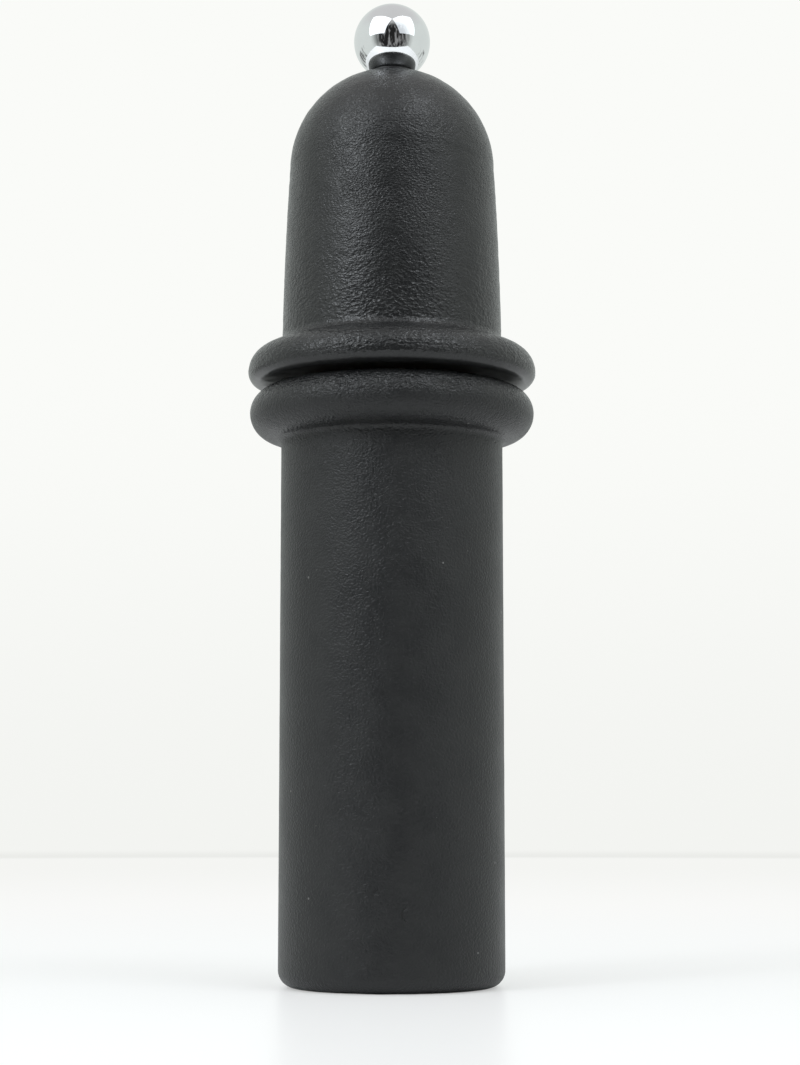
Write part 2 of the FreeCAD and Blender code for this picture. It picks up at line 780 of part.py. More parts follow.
def make_stator():
    """Burr ring: fine teeth below its throat, feed grooves in its funnel, three lugs outside."""
    body = new_body("stator")
    edge = d.stator_edge_break
    revolve(body, "ring", [
        (d.stator_foot_radius, d.stator_bottom),
        (d.stator_radius, d.stator_bottom),
        (d.stator_radius, d.stator_top - edge),
        (d.stator_radius - edge, d.stator_top),
        (d.stator_mouth_radius, d.stator_top),
        (d.stator_throat_radius, d.stator_throat_height),
    ])
    root = (d.stator_radius + d.stator_foot_radius) / 2
    outline = rectangle(root, d.lug_radius, d.lug_width / 2)
    lug = extrude(body, "lug", d.stator_bottom, d.lug_height, corners=outline, turn=d.lug_angle)
    repeat_around(body, "lugs", lug, d.lug_count)
    end = (d.stator_feed_end_depth, d.stator_feed_end_half_width)
    trough = (d.stator_feed_depth, d.stator_feed_half_width)
    mouth = (d.stator_feed_depth, d.stator_feed_mouth_half_width)
    low = d.stator_throat_height - d.groove_overrun
    middle = (d.stator_throat_height + d.stator_top) / 2
    high = d.stator_top + d.groove_overrun
    twist = -d.stator_feed_twist
    feed = cut_groove(body, "feed_groove", [
        groove_section(low, stator_radius(low), *end, 0, outwards=True),
        groove_section(middle, stator_radius(middle), *trough, twist, outwards=True),
        groove_section(high, stator_radius(high), *mouth, twist * 2, outwards=True),
    ], ruled=False)
    repeat_around(body, "feed_grooves", feed, d.stator_feed_count)
    gap = (d.stator_tooth_depth, d.stator_tooth_half_width)
    end = (d.stator_tooth_end_depth, d.stator_tooth_end_half_width)
    low = d.stator_bottom - d.groove_overrun
    high = d.stator_throat_height + d.tooth_runout
    tooth = cut_groove(body, "tooth_gap", [
        groove_section(low, d.stator_foot_radius, *gap, 0, outwards=True),
        groove_section(high, stator_radius(high), *end, -d.stator_tooth_twist, outwards=True),
    ], ruled=True)
    repeat_around(body, "tooth_gaps", tooth, d.stator_tooth_count)
    return body


def make_grinder_housing():
    """Plastic sleeve with a lip over the stator, slots for its lugs, and ribs that grip the wood."""
    body = new_body("grinder_housing")
    lip_bottom = d.stator_top + d.press_gap
    revolve(body, "sleeve", [
        (stator_bore, flange_bottom),
        (d.housing_flange_radius, flange_bottom),
        (d.housing_flange_radius, ledge),
        (d.sleeve_radius, ledge),
        (d.sleeve_radius, d.sleeve_top),
        (d.sleeve_mouth_radius, d.sleeve_top),
        (d.sleeve_lip_radius, lip_bottom),
        (stator_bore, lip_bottom),
    ])
    root = (d.sleeve_radius + stator_bore) / 2
    half = d.housing_rib_half_width
    rib_outline = [(root, -half), (d.housing_rib_radius, 0), (root, half)]
    rib = extrude(body, "rib", ledge, d.housing_rib_top - ledge, corners=rib_outline)
    repeat_around(body, "ribs", rib, d.housing_rib_count)
    outline = rectangle(d.retainer_bore, d.bore_radius, d.lug_width / 2 + d.press_gap)
    height = d.stator_bottom + d.lug_height + d.press_gap - flange_bottom
    slot = extrude(body, "lug_slot", flange_bottom, height, corners=outline, turn=d.lug_angle, cut=True)
    repeat_around(body, "lug_slots", slot, d.lug_count)
    opening = [(d.bar_screw_hole_radius, d.bar_screw_circle, 0)]
    thickness = d.housing_flange_thickness
    hole = extrude(body, "screw_hole", flange_bottom, thickness, circles=opening, cut=True)
    repeat_around(body, "screw_holes", hole, d.bar_screw_count)
    return body


def make_stator_retainer():
    body = new_body("stator_retainer")
    bottom = d.stator_bottom - d.retainer_height
    revolve(body, "ring", [
        (d.retainer_bore + d.retainer_break, bottom),
        (d.stator_radius, bottom),
        (d.stator_radius, d.stator_bottom),
        (d.retainer_bore, d.stator_bottom),
        (d.retainer_bore, bottom + d.retainer_break),
    ])
    return body


def make_crossbar():
    """Round-ended bar with an eye in its middle for the journal and a hole at each end."""
    body = new_body("crossbar")
    half = d.crossbar_half_width
    tip = d.crossbar_half_length
    straight = tip - half
    extrude(body, "bar", crossbar_bottom, d.crossbar_thickness, corners=[
        (straight, -half),
        (tip, 0, half, LEFT),
        (straight, half, half, LEFT),
        (-straight, half),
        (-tip, 0, half, LEFT),
        (-straight, -half, half, LEFT),
    ])
    extrude(body, "eye", crossbar_bottom, d.crossbar_thickness, circles=[(d.crossbar_eye_radius, 0, 0)])
    extrude(body, "holes", crossbar_bottom, d.crossbar_thickness, cut=True, circles=[
        (d.journal_radius + d.running_gap, 0, 0),
        (d.bar_screw_hole_radius, d.bar_screw_circle, 0),
        (d.bar_screw_hole_radius, -d.bar_screw_circle, 0),
    ])
    return body


def make_crossbar_screws():
    body = new_body("crossbar_screws", several_solids=True)
    top = crossbar_bottom + d.bar_screw_length
    bottom = crossbar_bottom - d.bar_screw_head_height
    crown = d.bar_screw_head_height / 2
    screw = revolve(body, "screw", [
        (0, bottom),
        (d.bar_screw_head_radius - crown, bottom),
        (d.bar_screw_head_radius, bottom + crown, crown, LEFT),
        (d.bar_screw_head_radius, crossbar_bottom),
        (d.bar_screw_radius, crossbar_bottom),
        (d.bar_screw_radius, top - d.screw_point),
        (0, top),
    ], shift=d.bar_screw_circle)
    repeat_around(body, "screws", screw, d.bar_screw_count)
    return body


nodes = [
    make_body(),
    make_grinder_housing(),
    make_stator(),
    make_stator_retainer(),
    make_crossbar(),
    make_crossbar_screws(),
    make_spring_seat(),
    make_spring(),
    make_thrust_washer(),
    make_retaining_clip(),
    make_rotor_core(),
    make_rotor(),
    make_shaft(),
    make_glide_ring(),
    make_head(),
    make_drive_plate(),
    make_drive_plate_screws(),
    make_head_eyelet(),
    make_nut_washer(),
    make_ball_nut(),
]

doc.recompute()
failed = [item.Name for item in doc.Objects if {"Invalid", "Error"} & set(item.State)]
if failed:
    raise RuntimeError(f"failed features: {failed}")
for node in nodes:
    if node.Shape.isNull() or not node.Shape.isValid():
        raise RuntimeError(f"{node.Label} has no valid shape")

os.makedirs("parts", exist_ok=True)
for node in nodes:
    node.Shape.exportStep(f"parts/{node.Label}.step")
    box = node.Shape.BoundBox
    print(f"{node.Label}: {len(node.Shape.Solids)} solid(s), {node.Shape.Volume:.1f} mm3, "
          f"z {box.ZMin:.2f} to {box.ZMax:.2f}, width {box.XLength:.2f}")
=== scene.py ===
# %% [markdown]
# # A pepper mill in black coated wood
# The mill is two pieces of turned wood under one matt black coat: a straight body with a bead at its
# top, and a domed head with a bead at its foot. A polished ball nut sits on the dome, and a steel and
# ceramic grinder is hidden in the body. The fixed frame below holds every piece at its real size. This
# lesson dresses that frame: it remodels the pieces whose surface matters and gives each one a finish.

# %% Load the fixed frame
import json
import math

import bpy
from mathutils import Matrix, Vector

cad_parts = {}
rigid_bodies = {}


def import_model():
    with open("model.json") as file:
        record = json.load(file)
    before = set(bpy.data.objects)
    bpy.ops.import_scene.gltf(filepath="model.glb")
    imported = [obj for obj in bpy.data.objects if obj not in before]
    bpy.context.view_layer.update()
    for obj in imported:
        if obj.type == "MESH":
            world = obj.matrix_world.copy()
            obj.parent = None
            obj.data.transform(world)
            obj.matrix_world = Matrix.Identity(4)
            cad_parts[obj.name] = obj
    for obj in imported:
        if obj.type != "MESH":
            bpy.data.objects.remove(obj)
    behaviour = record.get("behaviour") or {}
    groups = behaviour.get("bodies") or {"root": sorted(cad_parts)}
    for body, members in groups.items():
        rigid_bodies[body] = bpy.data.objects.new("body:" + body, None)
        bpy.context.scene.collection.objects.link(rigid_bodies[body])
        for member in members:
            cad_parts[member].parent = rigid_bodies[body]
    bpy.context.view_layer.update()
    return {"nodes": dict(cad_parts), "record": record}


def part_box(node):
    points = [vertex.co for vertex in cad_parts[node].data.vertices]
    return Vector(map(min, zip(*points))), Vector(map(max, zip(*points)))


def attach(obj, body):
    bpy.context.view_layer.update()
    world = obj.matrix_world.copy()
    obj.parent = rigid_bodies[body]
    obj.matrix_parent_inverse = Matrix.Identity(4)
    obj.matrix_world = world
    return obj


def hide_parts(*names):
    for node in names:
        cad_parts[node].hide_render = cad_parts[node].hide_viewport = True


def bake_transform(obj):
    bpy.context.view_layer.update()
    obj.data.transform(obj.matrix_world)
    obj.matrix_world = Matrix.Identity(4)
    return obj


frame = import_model()

# %% [markdown]
# ## The camera
# The photograph looks slightly up at the mill from half a metre away and from about a sixth of the
# mill's height, so the dome shows its front, the gap between the beads bows upwards, and the base shows
# only a thin curve. The focal length is known in pixels of the photograph, and Blender wants it in
# millimetres for a sensor whose long side is 36 mm, so one is worked out from the other.

# %% Camera at the photograph's viewing angle
MM = 0.001
PHOTO_HEIGHT = 1065
FOCAL_PIXELS = 2328.2
SENSOR = 36.0
CAMERA_PLACE = (1.68 * MM, -477.65 * MM, 35.3 * MM)
CAMERA_TILT = math.radians(6.82)

bpy.ops.object.camera_add(location=CAMERA_PLACE, rotation=(math.pi / 2 + CAMERA_TILT, 0, 0))
camera = bpy.context.object
camera.data.sensor_width = SENSOR
camera.data.lens = FOCAL_PIXELS * SENSOR / PHOTO_HEIGHT
camera.data.clip_start = 0.01
bpy.context.scene.camera = camera
bpy.context.scene.view_settings.view_transform = "Standard"
print(f"lens {camera.data.lens:.1f} mm")

# %% [markdown]
# ## Nodes by name
# Materials are graphs, and a graph is easier to read when each node is one line. This helper adds a
# node, sets its own properties, and fills its inputs either with a value or with a link from another
# node's output. The others cover the steps that come back in every finish: a mask that rises between
# two values, sums of numbers and of vectors, noise, a mix of two colours, and a point's place.


# %% Helpers that build node graphs
def add_node(tree, kind, inputs=None, **settings):
    node = tree.nodes.new(kind)
    for name, value in settings.items():
        setattr(node, name, value)
    for name, value in (inputs or {}).items():
        if isinstance(value, bpy.types.NodeSocket):
            tree.links.new(value, node.inputs[name])
        else:
            node.inputs[name].default_value = value
    return node


def rise(tree, value, start, end, low=0.0, high=1.0):
    """A value that climbs from low to high while the input goes from start to end."""
    node = add_node(tree, "ShaderNodeMapRange", {
        "Value": value, "From Min": start, "From Max": end, "To Min": low, "To Max": high,
    }, interpolation_type="SMOOTHSTEP")
    return node.outputs["Result"]


def combine(tree, operation, first, second):
    return add_node(tree, "ShaderNodeMath", {0: first, 1: second}, operation=operation).outputs[0]


def combine_vectors(tree, operation, first, second):
    node = add_node(tree, "ShaderNodeVectorMath", {0: first, 1: second}, operation=operation)
    return node.outputs[0]


def axes(tree, vector):
    return add_node(tree, "ShaderNodeSeparateXYZ", {0: vector}).outputs


def object_place(tree):
    return add_node(tree, "ShaderNodeTexCoord").outputs["Object"]


def noise(tree, vector, scale, detail, **inputs):
    inputs.update({"Vector": vector, "Scale": scale, "Detail": detail})
    return add_node(tree, "ShaderNodeTexNoise", inputs).outputs[0]


def mix_colours(tree, factor, first, second):
    node = add_node(tree, "ShaderNodeMix", {0: factor, 6: first, 7: second}, data_type="RGBA")
    return node.outputs[2]


def grey(level):
    return (level, level, level, 1.0)


# Nearly all values of a noise texture lie in this range.
NOISE = (0.3, 0.7)

# %% [markdown]
# ## The light
# The ball nut is a small mirror, and it shows how the photograph was lit: two large white panels stand
# in front, left and right of the camera, each with a brighter lamp behind its cloth. The lamps make the
# wrinkles of the coat sparkle. A light is placed by its direction and distance from the middle of the
# mill, and its energy follows from its radiance and its size.

# %% Panels and lamps
AIM = Vector((0, 0, 0.1))
PANEL = {"elevation": 40, "distance": 1.10, "size": (1.0, 1.05)}
LAMP = {"distance": 1.05}
LIGHTS = {
    "left_panel": {"azimuth": -46, "radiance": 1.3, **PANEL},
    "right_panel": {"azimuth": 46, "radiance": 0.8, **PANEL},
    "left_lamp": {"azimuth": -47, "elevation": 36, "size": (0.22, 0.38), "radiance": 8.5, **LAMP},
    "right_lamp": {"azimuth": 46, "elevation": 57, "size": (0.32, 0.30), "radiance": 5.4, **LAMP},
}
PANEL_TINT = (0.95, 1.0, 1.05)

for name, light in LIGHTS.items():
    azimuth = math.radians(light["azimuth"])
    elevation = math.radians(light["elevation"])
    flat = math.cos(elevation)
    way = Vector((math.sin(azimuth) * flat, -math.cos(azimuth) * flat, math.sin(elevation)))
    turn = way.to_track_quat("Z", "Y").to_euler()
    bpy.ops.object.light_add(type="AREA", location=AIM + way * light["distance"], rotation=turn)
    lamp = bpy.context.object
    lamp.name = name
    lamp.data.shape = "RECTANGLE"
    lamp.data.size, lamp.data.size_y = light["size"]
    lamp.data.energy = light["radiance"] * math.pi * light["size"][0] * light["size"][1]
    lamp.data.color = PANEL_TINT
print("lights:", ", ".join(LIGHTS))

# %% [markdown]
# ## The room
# The world is the rest of the room. The backdrop and the sides are white and the ceiling is grey. The
# room behind the camera is dark, with a few upright things in it, and it makes the middle of the black
# coat darker than its edges. A few dark things stand low on both sides, past the table, and the ball
# shows them as streaks. The camera itself sees a plain pale world in every direction.

# %% World
WORLD_SIDES = (0.775, 0.82, 0.795, 1.0)
WORLD_CEILING = 0.72
WORLD_ROOM = 0.02
ROOM_CLUTTER = 0.30
SIDE_CLUTTER = 0.16
WORLD_SEEN = 0.93
ROOM_EDGE = (0.35, 0.85)
CEILING_EDGE = (0.5, 0.9)
TABLE_LEVEL = (-0.02, -0.08)
STEEP_DOWN = (-0.55, -0.45)
SIDE_EDGE = (0.05, 0.35)
UPRIGHT = (9.0, 9.0, 1.6)
ROOM_THINGS = (0.48, 0.66)
SIDE_THINGS = (0.52, 0.38)

world = bpy.data.worlds.new("studio")
bpy.context.scene.world = world
world.use_nodes = True
tree = world.node_tree
tree.nodes.clear()
way = add_node(tree, "ShaderNodeTexCoord").outputs["Generated"]
across = axes(tree, way)
towards_camera = combine(tree, "MULTIPLY", across["Y"], -1.0)
in_front = rise(tree, towards_camera, *ROOM_EDGE)
overhead = rise(tree, across["Z"], *CEILING_EDGE)
drawn_out = add_node(tree, "ShaderNodeMapping", {"Vector": way, "Scale": UPRIGHT}).outputs[0]
clutter = noise(tree, drawn_out, 1.0, 3.0)
room = mix_colours(tree, rise(tree, clutter, *ROOM_THINGS), grey(WORLD_ROOM), grey(ROOM_CLUTTER))
around = mix_colours(tree, in_front, WORLD_SIDES, room)
beside_table = combine(tree, "MULTIPLY", rise(tree, across["Z"], *TABLE_LEVEL),
                       rise(tree, across["Z"], *STEEP_DOWN))
behind = combine(tree, "MULTIPLY", beside_table, rise(tree, across["Y"], *SIDE_EDGE))
things = combine(tree, "MULTIPLY", behind, rise(tree, clutter, *SIDE_THINGS))
lower = mix_colours(tree, things, around, grey(SIDE_CLUTTER))
studio = mix_colours(tree, overhead, lower, grey(WORLD_CEILING))
seen = add_node(tree, "ShaderNodeLightPath").outputs["Is Camera Ray"]
background = add_node(tree, "ShaderNodeBackground", {
    "Color": mix_colours(tree, seen, studio, grey(WORLD_SEEN)),
})
output = add_node(tree, "ShaderNodeOutputWorld")
tree.links.new(background.outputs[0], output.inputs["Surface"])
print("world:", world.name, "with", len(tree.nodes), "nodes")

# %% [markdown]
# ## Floor and backdrop
# The mill stands on a satin white table in front of a white wall, and a faint grey line of painted
# shade marks where they meet. Near the mill the table is a real surface, so it takes the shadow and a
# blurred reflection. Away from it the camera sees more and more of a plain white, as the photograph's
# background is nearly blank.
# Past its front and sides only the camera sees the table. It is clear from below, and so is the spot
# that the mill covers, which leaves the base open to view and to the light. The wall is a ring, so that
# every side view has the same backdrop, and only the camera sees it.

# %% Table and wall
WALL_DISTANCE = 1.37
WALL_HEIGHT = 1.2
TABLE_FRONT = 0.30
TABLE_SIDE = 0.40
EDGE_BLUR = 0.02
COVERED = 0.0195
TABLE_WHITE = 0.97
TABLE_BOUNCE = 0.58
# Painted shade: the table's plain white is a little greyer far from the mill, where less light falls.
NEAR_WHITE = (0.970, 0.972, 0.965, 1.0)
FAR_WHITE = (0.913, 0.917, 0.895, 1.0)
# Painted shade: the wall is a little greyer at its foot than at its top.
WALL_TOP = (0.956, 0.964, 0.939, 1.0)
WALL_FOOT = (0.897, 0.905, 0.880, 1.0)
# Painted shade: the grey of the corner where the table meets the wall, used on the table's last stretch
# and the wall's foot.
CORNER_SHADE_GREY = (0.83, 0.838, 0.813, 1.0)
WALL_FADE = 0.40
CORNER_SHADE_HEIGHT = 0.006
CORNER_SHADE_DEPTH = 0.10
STAGE_STEPS = 96
BLANK = {"start": 0.05, "end": 0.45, "low": 0.42, "high": 0.97}


def stage_material(name):
    material = bpy.data.materials.new(name)
    material.use_nodes = True
    material.node_tree.nodes.clear()
    output = add_node(material.node_tree, "ShaderNodeOutputMaterial")
    return material, material.node_tree, output.inputs["Surface"]


def table_material():
    material, tree, surface = stage_material("satin_table")
    place = object_place(tree)
    across = axes(tree, place)
    forward = combine(tree, "MULTIPLY", across["Y"], -1.0)
    aside = add_node(tree, "ShaderNodeMath", {0: across["X"]}, operation="ABSOLUTE").outputs[0]
    far = add_node(tree, "ShaderNodeVectorMath", {0: place}, operation="LENGTH").outputs["Value"]
    path = add_node(tree, "ShaderNodeLightPath").outputs
    below = add_node(tree, "ShaderNodeNewGeometry").outputs["Backfacing"]
    satin = add_node(tree, "ShaderNodeBsdfPrincipled", {
        "Base Color": mix_colours(tree, path["Is Diffuse Ray"], grey(TABLE_WHITE), grey(TABLE_BOUNCE)),
        "Roughness": 0.30, "Specular IOR Level": 0.3,
    })
    unseen = combine(tree, "SUBTRACT", 1.0, path["Is Camera Ray"])
    past_front = rise(tree, forward, TABLE_FRONT, TABLE_FRONT + EDGE_BLUR)
    past_side = rise(tree, aside, TABLE_SIDE, TABLE_SIDE + EDGE_BLUR)
    past_edge = combine(tree, "MULTIPLY", combine(tree, "MAXIMUM", past_front, past_side), unseen)
    clear = add_node(tree, "ShaderNodeBsdfTransparent")
    edged = add_node(tree, "ShaderNodeMixShader", {
        0: past_edge, 1: satin.outputs[0], 2: clear.outputs[0],
    })
    # Painted shade: the plain white greys with distance from the mill.
    white = mix_colours(tree, rise(tree, far, 0.0, 1.0), NEAR_WHITE, FAR_WHITE)
    # Painted shade: over its last stretch before the wall, the table greys into the corner's grey.
    corner_shade = rise(tree, far, WALL_DISTANCE - CORNER_SHADE_DEPTH, WALL_DISTANCE)
    blank = add_node(tree, "ShaderNodeEmission", {"Color": mix_colours(tree, corner_shade, white, CORNER_SHADE_GREY)})
    fade = combine(tree, "MULTIPLY", rise(tree, far, **BLANK), path["Is Camera Ray"])
    seen = add_node(tree, "ShaderNodeMixShader", {0: fade, 1: edged.outputs[0], 2: blank.outputs[0]})
    opened = combine(tree, "MAXIMUM", below, combine(tree, "LESS_THAN", far, COVERED))
    whole = add_node(tree, "ShaderNodeMixShader", {0: opened, 1: seen.outputs[0], 2: clear.outputs[0]})
    tree.links.new(whole.outputs[0], surface)
    return material


def wall_material():
    material, tree, surface = stage_material("pale_wall")
    height = axes(tree, object_place(tree))["Z"]
    # Painted shade: a grey line at the wall's foot, and above it a wall that grows paler towards its
    # top.
    low = mix_colours(tree, rise(tree, height, 0.0, CORNER_SHADE_HEIGHT), CORNER_SHADE_GREY, WALL_FOOT)
    colour = mix_colours(tree, rise(tree, height, 0.0, WALL_FADE), low, WALL_TOP)
    glow = add_node(tree, "ShaderNodeEmission", {"Color": colour})
    tree.links.new(glow.outputs[0], surface)
    return material


bpy.ops.object.select_all(action="DESELECT")
bpy.ops.mesh.primitive_circle_add(vertices=STAGE_STEPS, radius=WALL_DISTANCE, fill_type="NGON")
table = bpy.context.object
table.name = "table"
table.data.materials.append(table_material())

bpy.ops.object.select_all(action="DESELECT")
bpy.ops.mesh.primitive_circle_add(vertices=STAGE_STEPS, radius=WALL_DISTANCE, fill_type="NOTHING")
wall = bpy.context.object
wall.name = "wall"
bpy.ops.object.mode_set(mode="EDIT")
bpy.ops.mesh.extrude_region_move(TRANSFORM_OT_translate={"value": (0, 0, WALL_HEIGHT)})
bpy.ops.object.mode_set(mode="OBJECT")
wall.data.materials.append(wall_material())
wall.visible_diffuse = False
wall.visible_glossy = False
wall.visible_shadow = False
print("stage:", table.name, "and", wall.name)

# %% [markdown]
# ## Shared effects
# Some effects come back on several finishes. Each is a node group, built once and placed in a material
# with its own values. *Fine grain* is the even speckle of a sprayed coat, a moulding or a sintered
# ceramic. *Wrinkles* are the short level folds of a thick coat that dried too fast. *Drawn streaks* are
# the long marks that a die or a polishing wheel leaves on metal. *Specks* are the few light grains of
# dust that stick to a matt surface, and stretched along the height they are short scratches.


# %% A new node group
def new_group(name, inputs, outputs):
    group = bpy.data.node_groups.new(name, "ShaderNodeTree")
    for label, kind, value in inputs:
        socket = group.interface.new_socket(label, in_out="INPUT", socket_type=f"NodeSocket{kind}")
        socket.default_value = value
    for label, kind in outputs:
        group.interface.new_socket(label, in_out="OUTPUT", socket_type=f"NodeSocket{kind}")
    entry = group.nodes.new("NodeGroupInput")
    leave = group.nodes.new("NodeGroupOutput")
    return group, entry.outputs, leave.inputs


# %% Fine grain and wrinkles
def fine_grain_group():
    group, entry, leave = new_group("fine_grain", [
        ("Scale", "Float", 1000.0), ("Roughness", "Float", 0.6),
    ], [("Grain", "Float"), ("Cloud", "Float")])
    place = object_place(group)
    grain = noise(group, place, entry["Scale"], 1.5, Roughness=entry["Roughness"])
    cloud_scale = combine(group, "MULTIPLY", entry["Scale"], 0.06)
    group.links.new(grain, leave["Grain"])
    group.links.new(noise(group, place, cloud_scale, 3.0), leave["Cloud"])
    return group


def wrinkles_group():
    group, entry, leave = new_group("wrinkles", [
        ("Scale", "Float", 2000.0), ("Flatness", "Float", 1.5),
    ], [("Height", "Float")])
    place = object_place(group)
    stretch = add_node(group, "ShaderNodeCombineXYZ", {"X": 1.0, "Y": 1.0, "Z": entry["Flatness"]})
    flat = combine_vectors(group, "MULTIPLY", place, stretch.outputs[0])
    fold = noise(group, flat, entry["Scale"], 1.0, Distortion=0.3)
    patch_scale = combine(group, "MULTIPLY", entry["Scale"], 0.08)
    amount = rise(group, noise(group, place, patch_scale, 2.0), *NOISE, 0.5, 1.0)
    height = combine(group, "MULTIPLY", combine(group, "SUBTRACT", fold, 0.5), amount)
    group.links.new(height, leave["Height"])
    return group


# %% Drawn streaks and specks
def drawn_streaks_group():
    group, entry, leave = new_group("drawn_streaks", [
        ("Stretch", "Vector", (900.0, 900.0, 20.0)),
    ], [("Streak", "Float")])
    place = object_place(group)
    drawn = combine_vectors(group, "MULTIPLY", place, entry["Stretch"])
    group.links.new(noise(group, drawn, 1.0, 5.0, Roughness=0.65), leave["Streak"])
    return group


def specks_group():
    group, entry, leave = new_group("specks", [
        ("Spacing", "Float", 200.0), ("Size", "Float", 0.05), ("Share", "Float", 0.5),
        ("Stretch", "Vector", (1.0, 1.0, 1.0)),
    ], [("Mask", "Float")])
    place = object_place(group)
    drawn = combine_vectors(group, "MULTIPLY", place, entry["Stretch"])
    cells = add_node(group, "ShaderNodeTexVoronoi", {"Vector": drawn, "Scale": entry["Spacing"]})
    chance = axes(group, cells.outputs["Color"])
    size = combine(group, "MULTIPLY", entry["Size"], chance["Y"])
    near = combine(group, "LESS_THAN", cells.outputs["Distance"], size)
    kept = combine(group, "LESS_THAN", chance["X"], entry["Share"])
    group.links.new(combine(group, "MULTIPLY", near, kept), leave["Mask"])
    return group


GRAIN = fine_grain_group()
WRINKLES = wrinkles_group()
STREAKS = drawn_streaks_group()
SPECKS = specks_group()
print("groups:", ", ".join(group.name for group in (GRAIN, WRINKLES, STREAKS, SPECKS)))


# %% Groups and bumps in a finish
def place_group(tree, group, **values):
    node = tree.nodes.new("ShaderNodeGroup")
    node.node_tree = group
    for name, value in values.items():
        node.inputs[name].default_value = value
    return node.outputs


def new_finish(name, **values):
    """A material with one Principled shader. Plain values go straight onto the shader's sockets."""
    material = bpy.data.materials.new(name)
    material.use_nodes = True
    shader = material.node_tree.nodes["Principled BSDF"]
    for label, value in values.items():
        shader.inputs[label.replace("_", " ")].default_value = value
    return material, material.node_tree, shader.inputs


def bump(tree, height, distance, strength=1.0):
    inputs = {"Height": height, "Distance": distance, "Strength": strength}
    return add_node(tree, "ShaderNodeBump", inputs).outputs[0]


def dress(tree, shader, colour, roughness, normal):
    """Link what varies over the surface to the shader."""
    tree.links.new(colour, shader["Base Color"])
    tree.links.new(roughness, shader["Roughness"])
    tree.links.new(normal, shader["Normal"])


# %% [markdown]
# ## The black coat
# The coat is a thick matt spray. On the body it has dried almost smooth, with a fine grain, a few short
# scratches and grains of dust. On the head it has drawn together into short level wrinkles, which
# sparkle where a lamp is mirrored. They are faint on the dome and coarsest at the head's foot. The bead
# of the body has coarse wrinkles too, and fine ones fade out down the wall. Two marks near the foot came
# with use: a pit, and a curved scratch beside it.

# %% Values of the coat
COAT_DARK = (0.0122, 0.0126, 0.0130, 1.0)
COAT_PALE = (0.0176, 0.0180, 0.0180, 1.0)
DUST = (0.15, 0.15, 0.145, 1.0)
FINE_FOLDS = 1900.0
COARSE_FOLDS = 1150.0
BODY_WALL = (0.055, 0.120)
BODY_BEAD = (0.1150, 0.1190)
BODY_POLISH = (0.37, 0.43)
BODY_RELIEF = 0.19 * MM
UNDERSIDE = (0.1232, 0.1262)
HEAD_WALL = (0.132, 0.160)
DOME = (0.1895, 0.179)
HEAD_POLISH = (0.33, 0.25)
HEAD_RELIEF = 0.27 * MM
PIT = (-0.0029, -0.0228, 0.0196)
PIT_EDGE = (0.7 * MM, 0.3 * MM)
SCRATCH = (0.0036, -0.0228, 0.0153)
SCRATCH_RADIUS = 1.5 * MM
SCRATCH_WIDTH = 0.2 * MM
SCRATCH_END = (3.2 * MM, 2.7 * MM)


# %% Colour, folds and marks
def coat_colour(tree, cloud, dust):
    base = mix_colours(tree, rise(tree, cloud, *NOISE), COAT_DARK, COAT_PALE)
    return mix_colours(tree, dust, base, DUST)


def folds_between(tree, up, edges, low, high, **values):
    """Wrinkles whose depth goes from low to high between two heights."""
    folds = place_group(tree, WRINKLES, **values)["Height"]
    return combine(tree, "MULTIPLY", folds, rise(tree, up, *edges, low, high))


def distance_to(tree, point):
    ends = {0: object_place(tree), 1: point}
    return add_node(tree, "ShaderNodeVectorMath", ends, operation="DISTANCE").outputs["Value"]


def foot_marks(tree):
    """A round pit, and a short arc that is the edge of a sphere whose far side is off the wall."""
    pit = rise(tree, distance_to(tree, PIT), *PIT_EDGE)
    ring = combine(tree, "SUBTRACT", distance_to(tree, SCRATCH), SCRATCH_RADIUS)
    off_ring = add_node(tree, "ShaderNodeMath", {0: ring}, operation="ABSOLUTE").outputs[0]
    thin = rise(tree, off_ring, SCRATCH_WIDTH, 0.0)
    side = axes(tree, object_place(tree))["X"]
    arc_part = combine(tree, "MULTIPLY", thin, rise(tree, side, *SCRATCH_END))
    return combine(tree, "ADD", pit, arc_part)


# %% Coat of the body
def smooth_coat():
    material, tree, shader = new_finish("smooth_black_coat", Specular_IOR_Level=0.36)
    grain = place_group(tree, GRAIN, Scale=2200.0, Roughness=0.5)
    dust = place_group(tree, SPECKS, Spacing=200.0, Size=0.06, Share=0.8)
    up = axes(tree, object_place(tree))["Z"]
    fine = folds_between(tree, up, BODY_WALL, 0.0, 1.4)
    coarse = folds_between(tree, up, BODY_BEAD, 0.0, 2.2, Scale=COARSE_FOLDS)
    folds = combine(tree, "ADD", fine, coarse)
    polish = combine(tree, "SUBTRACT", rise(tree, grain["Cloud"], *NOISE, *BODY_POLISH),
                     rise(tree, up, *BODY_BEAD, 0.0, 0.11))
    scratches = place_group(tree, SPECKS, Spacing=260.0, Size=0.05, Stretch=(1.0, 1.0, 0.22))["Mask"]
    marks = combine(tree, "ADD", scratches, combine(tree, "MULTIPLY", foot_marks(tree), 2.0))
    height = combine(tree, "SUBTRACT", combine(tree, "ADD", grain["Grain"], folds), marks)
    pale = combine(tree, "MAXIMUM", dust["Mask"], combine(tree, "MULTIPLY", scratches, 0.12))
    colour = coat_colour(tree, grain["Cloud"], pale)
    dress(tree, shader, colour, polish, bump(tree, height, BODY_RELIEF))
    return material


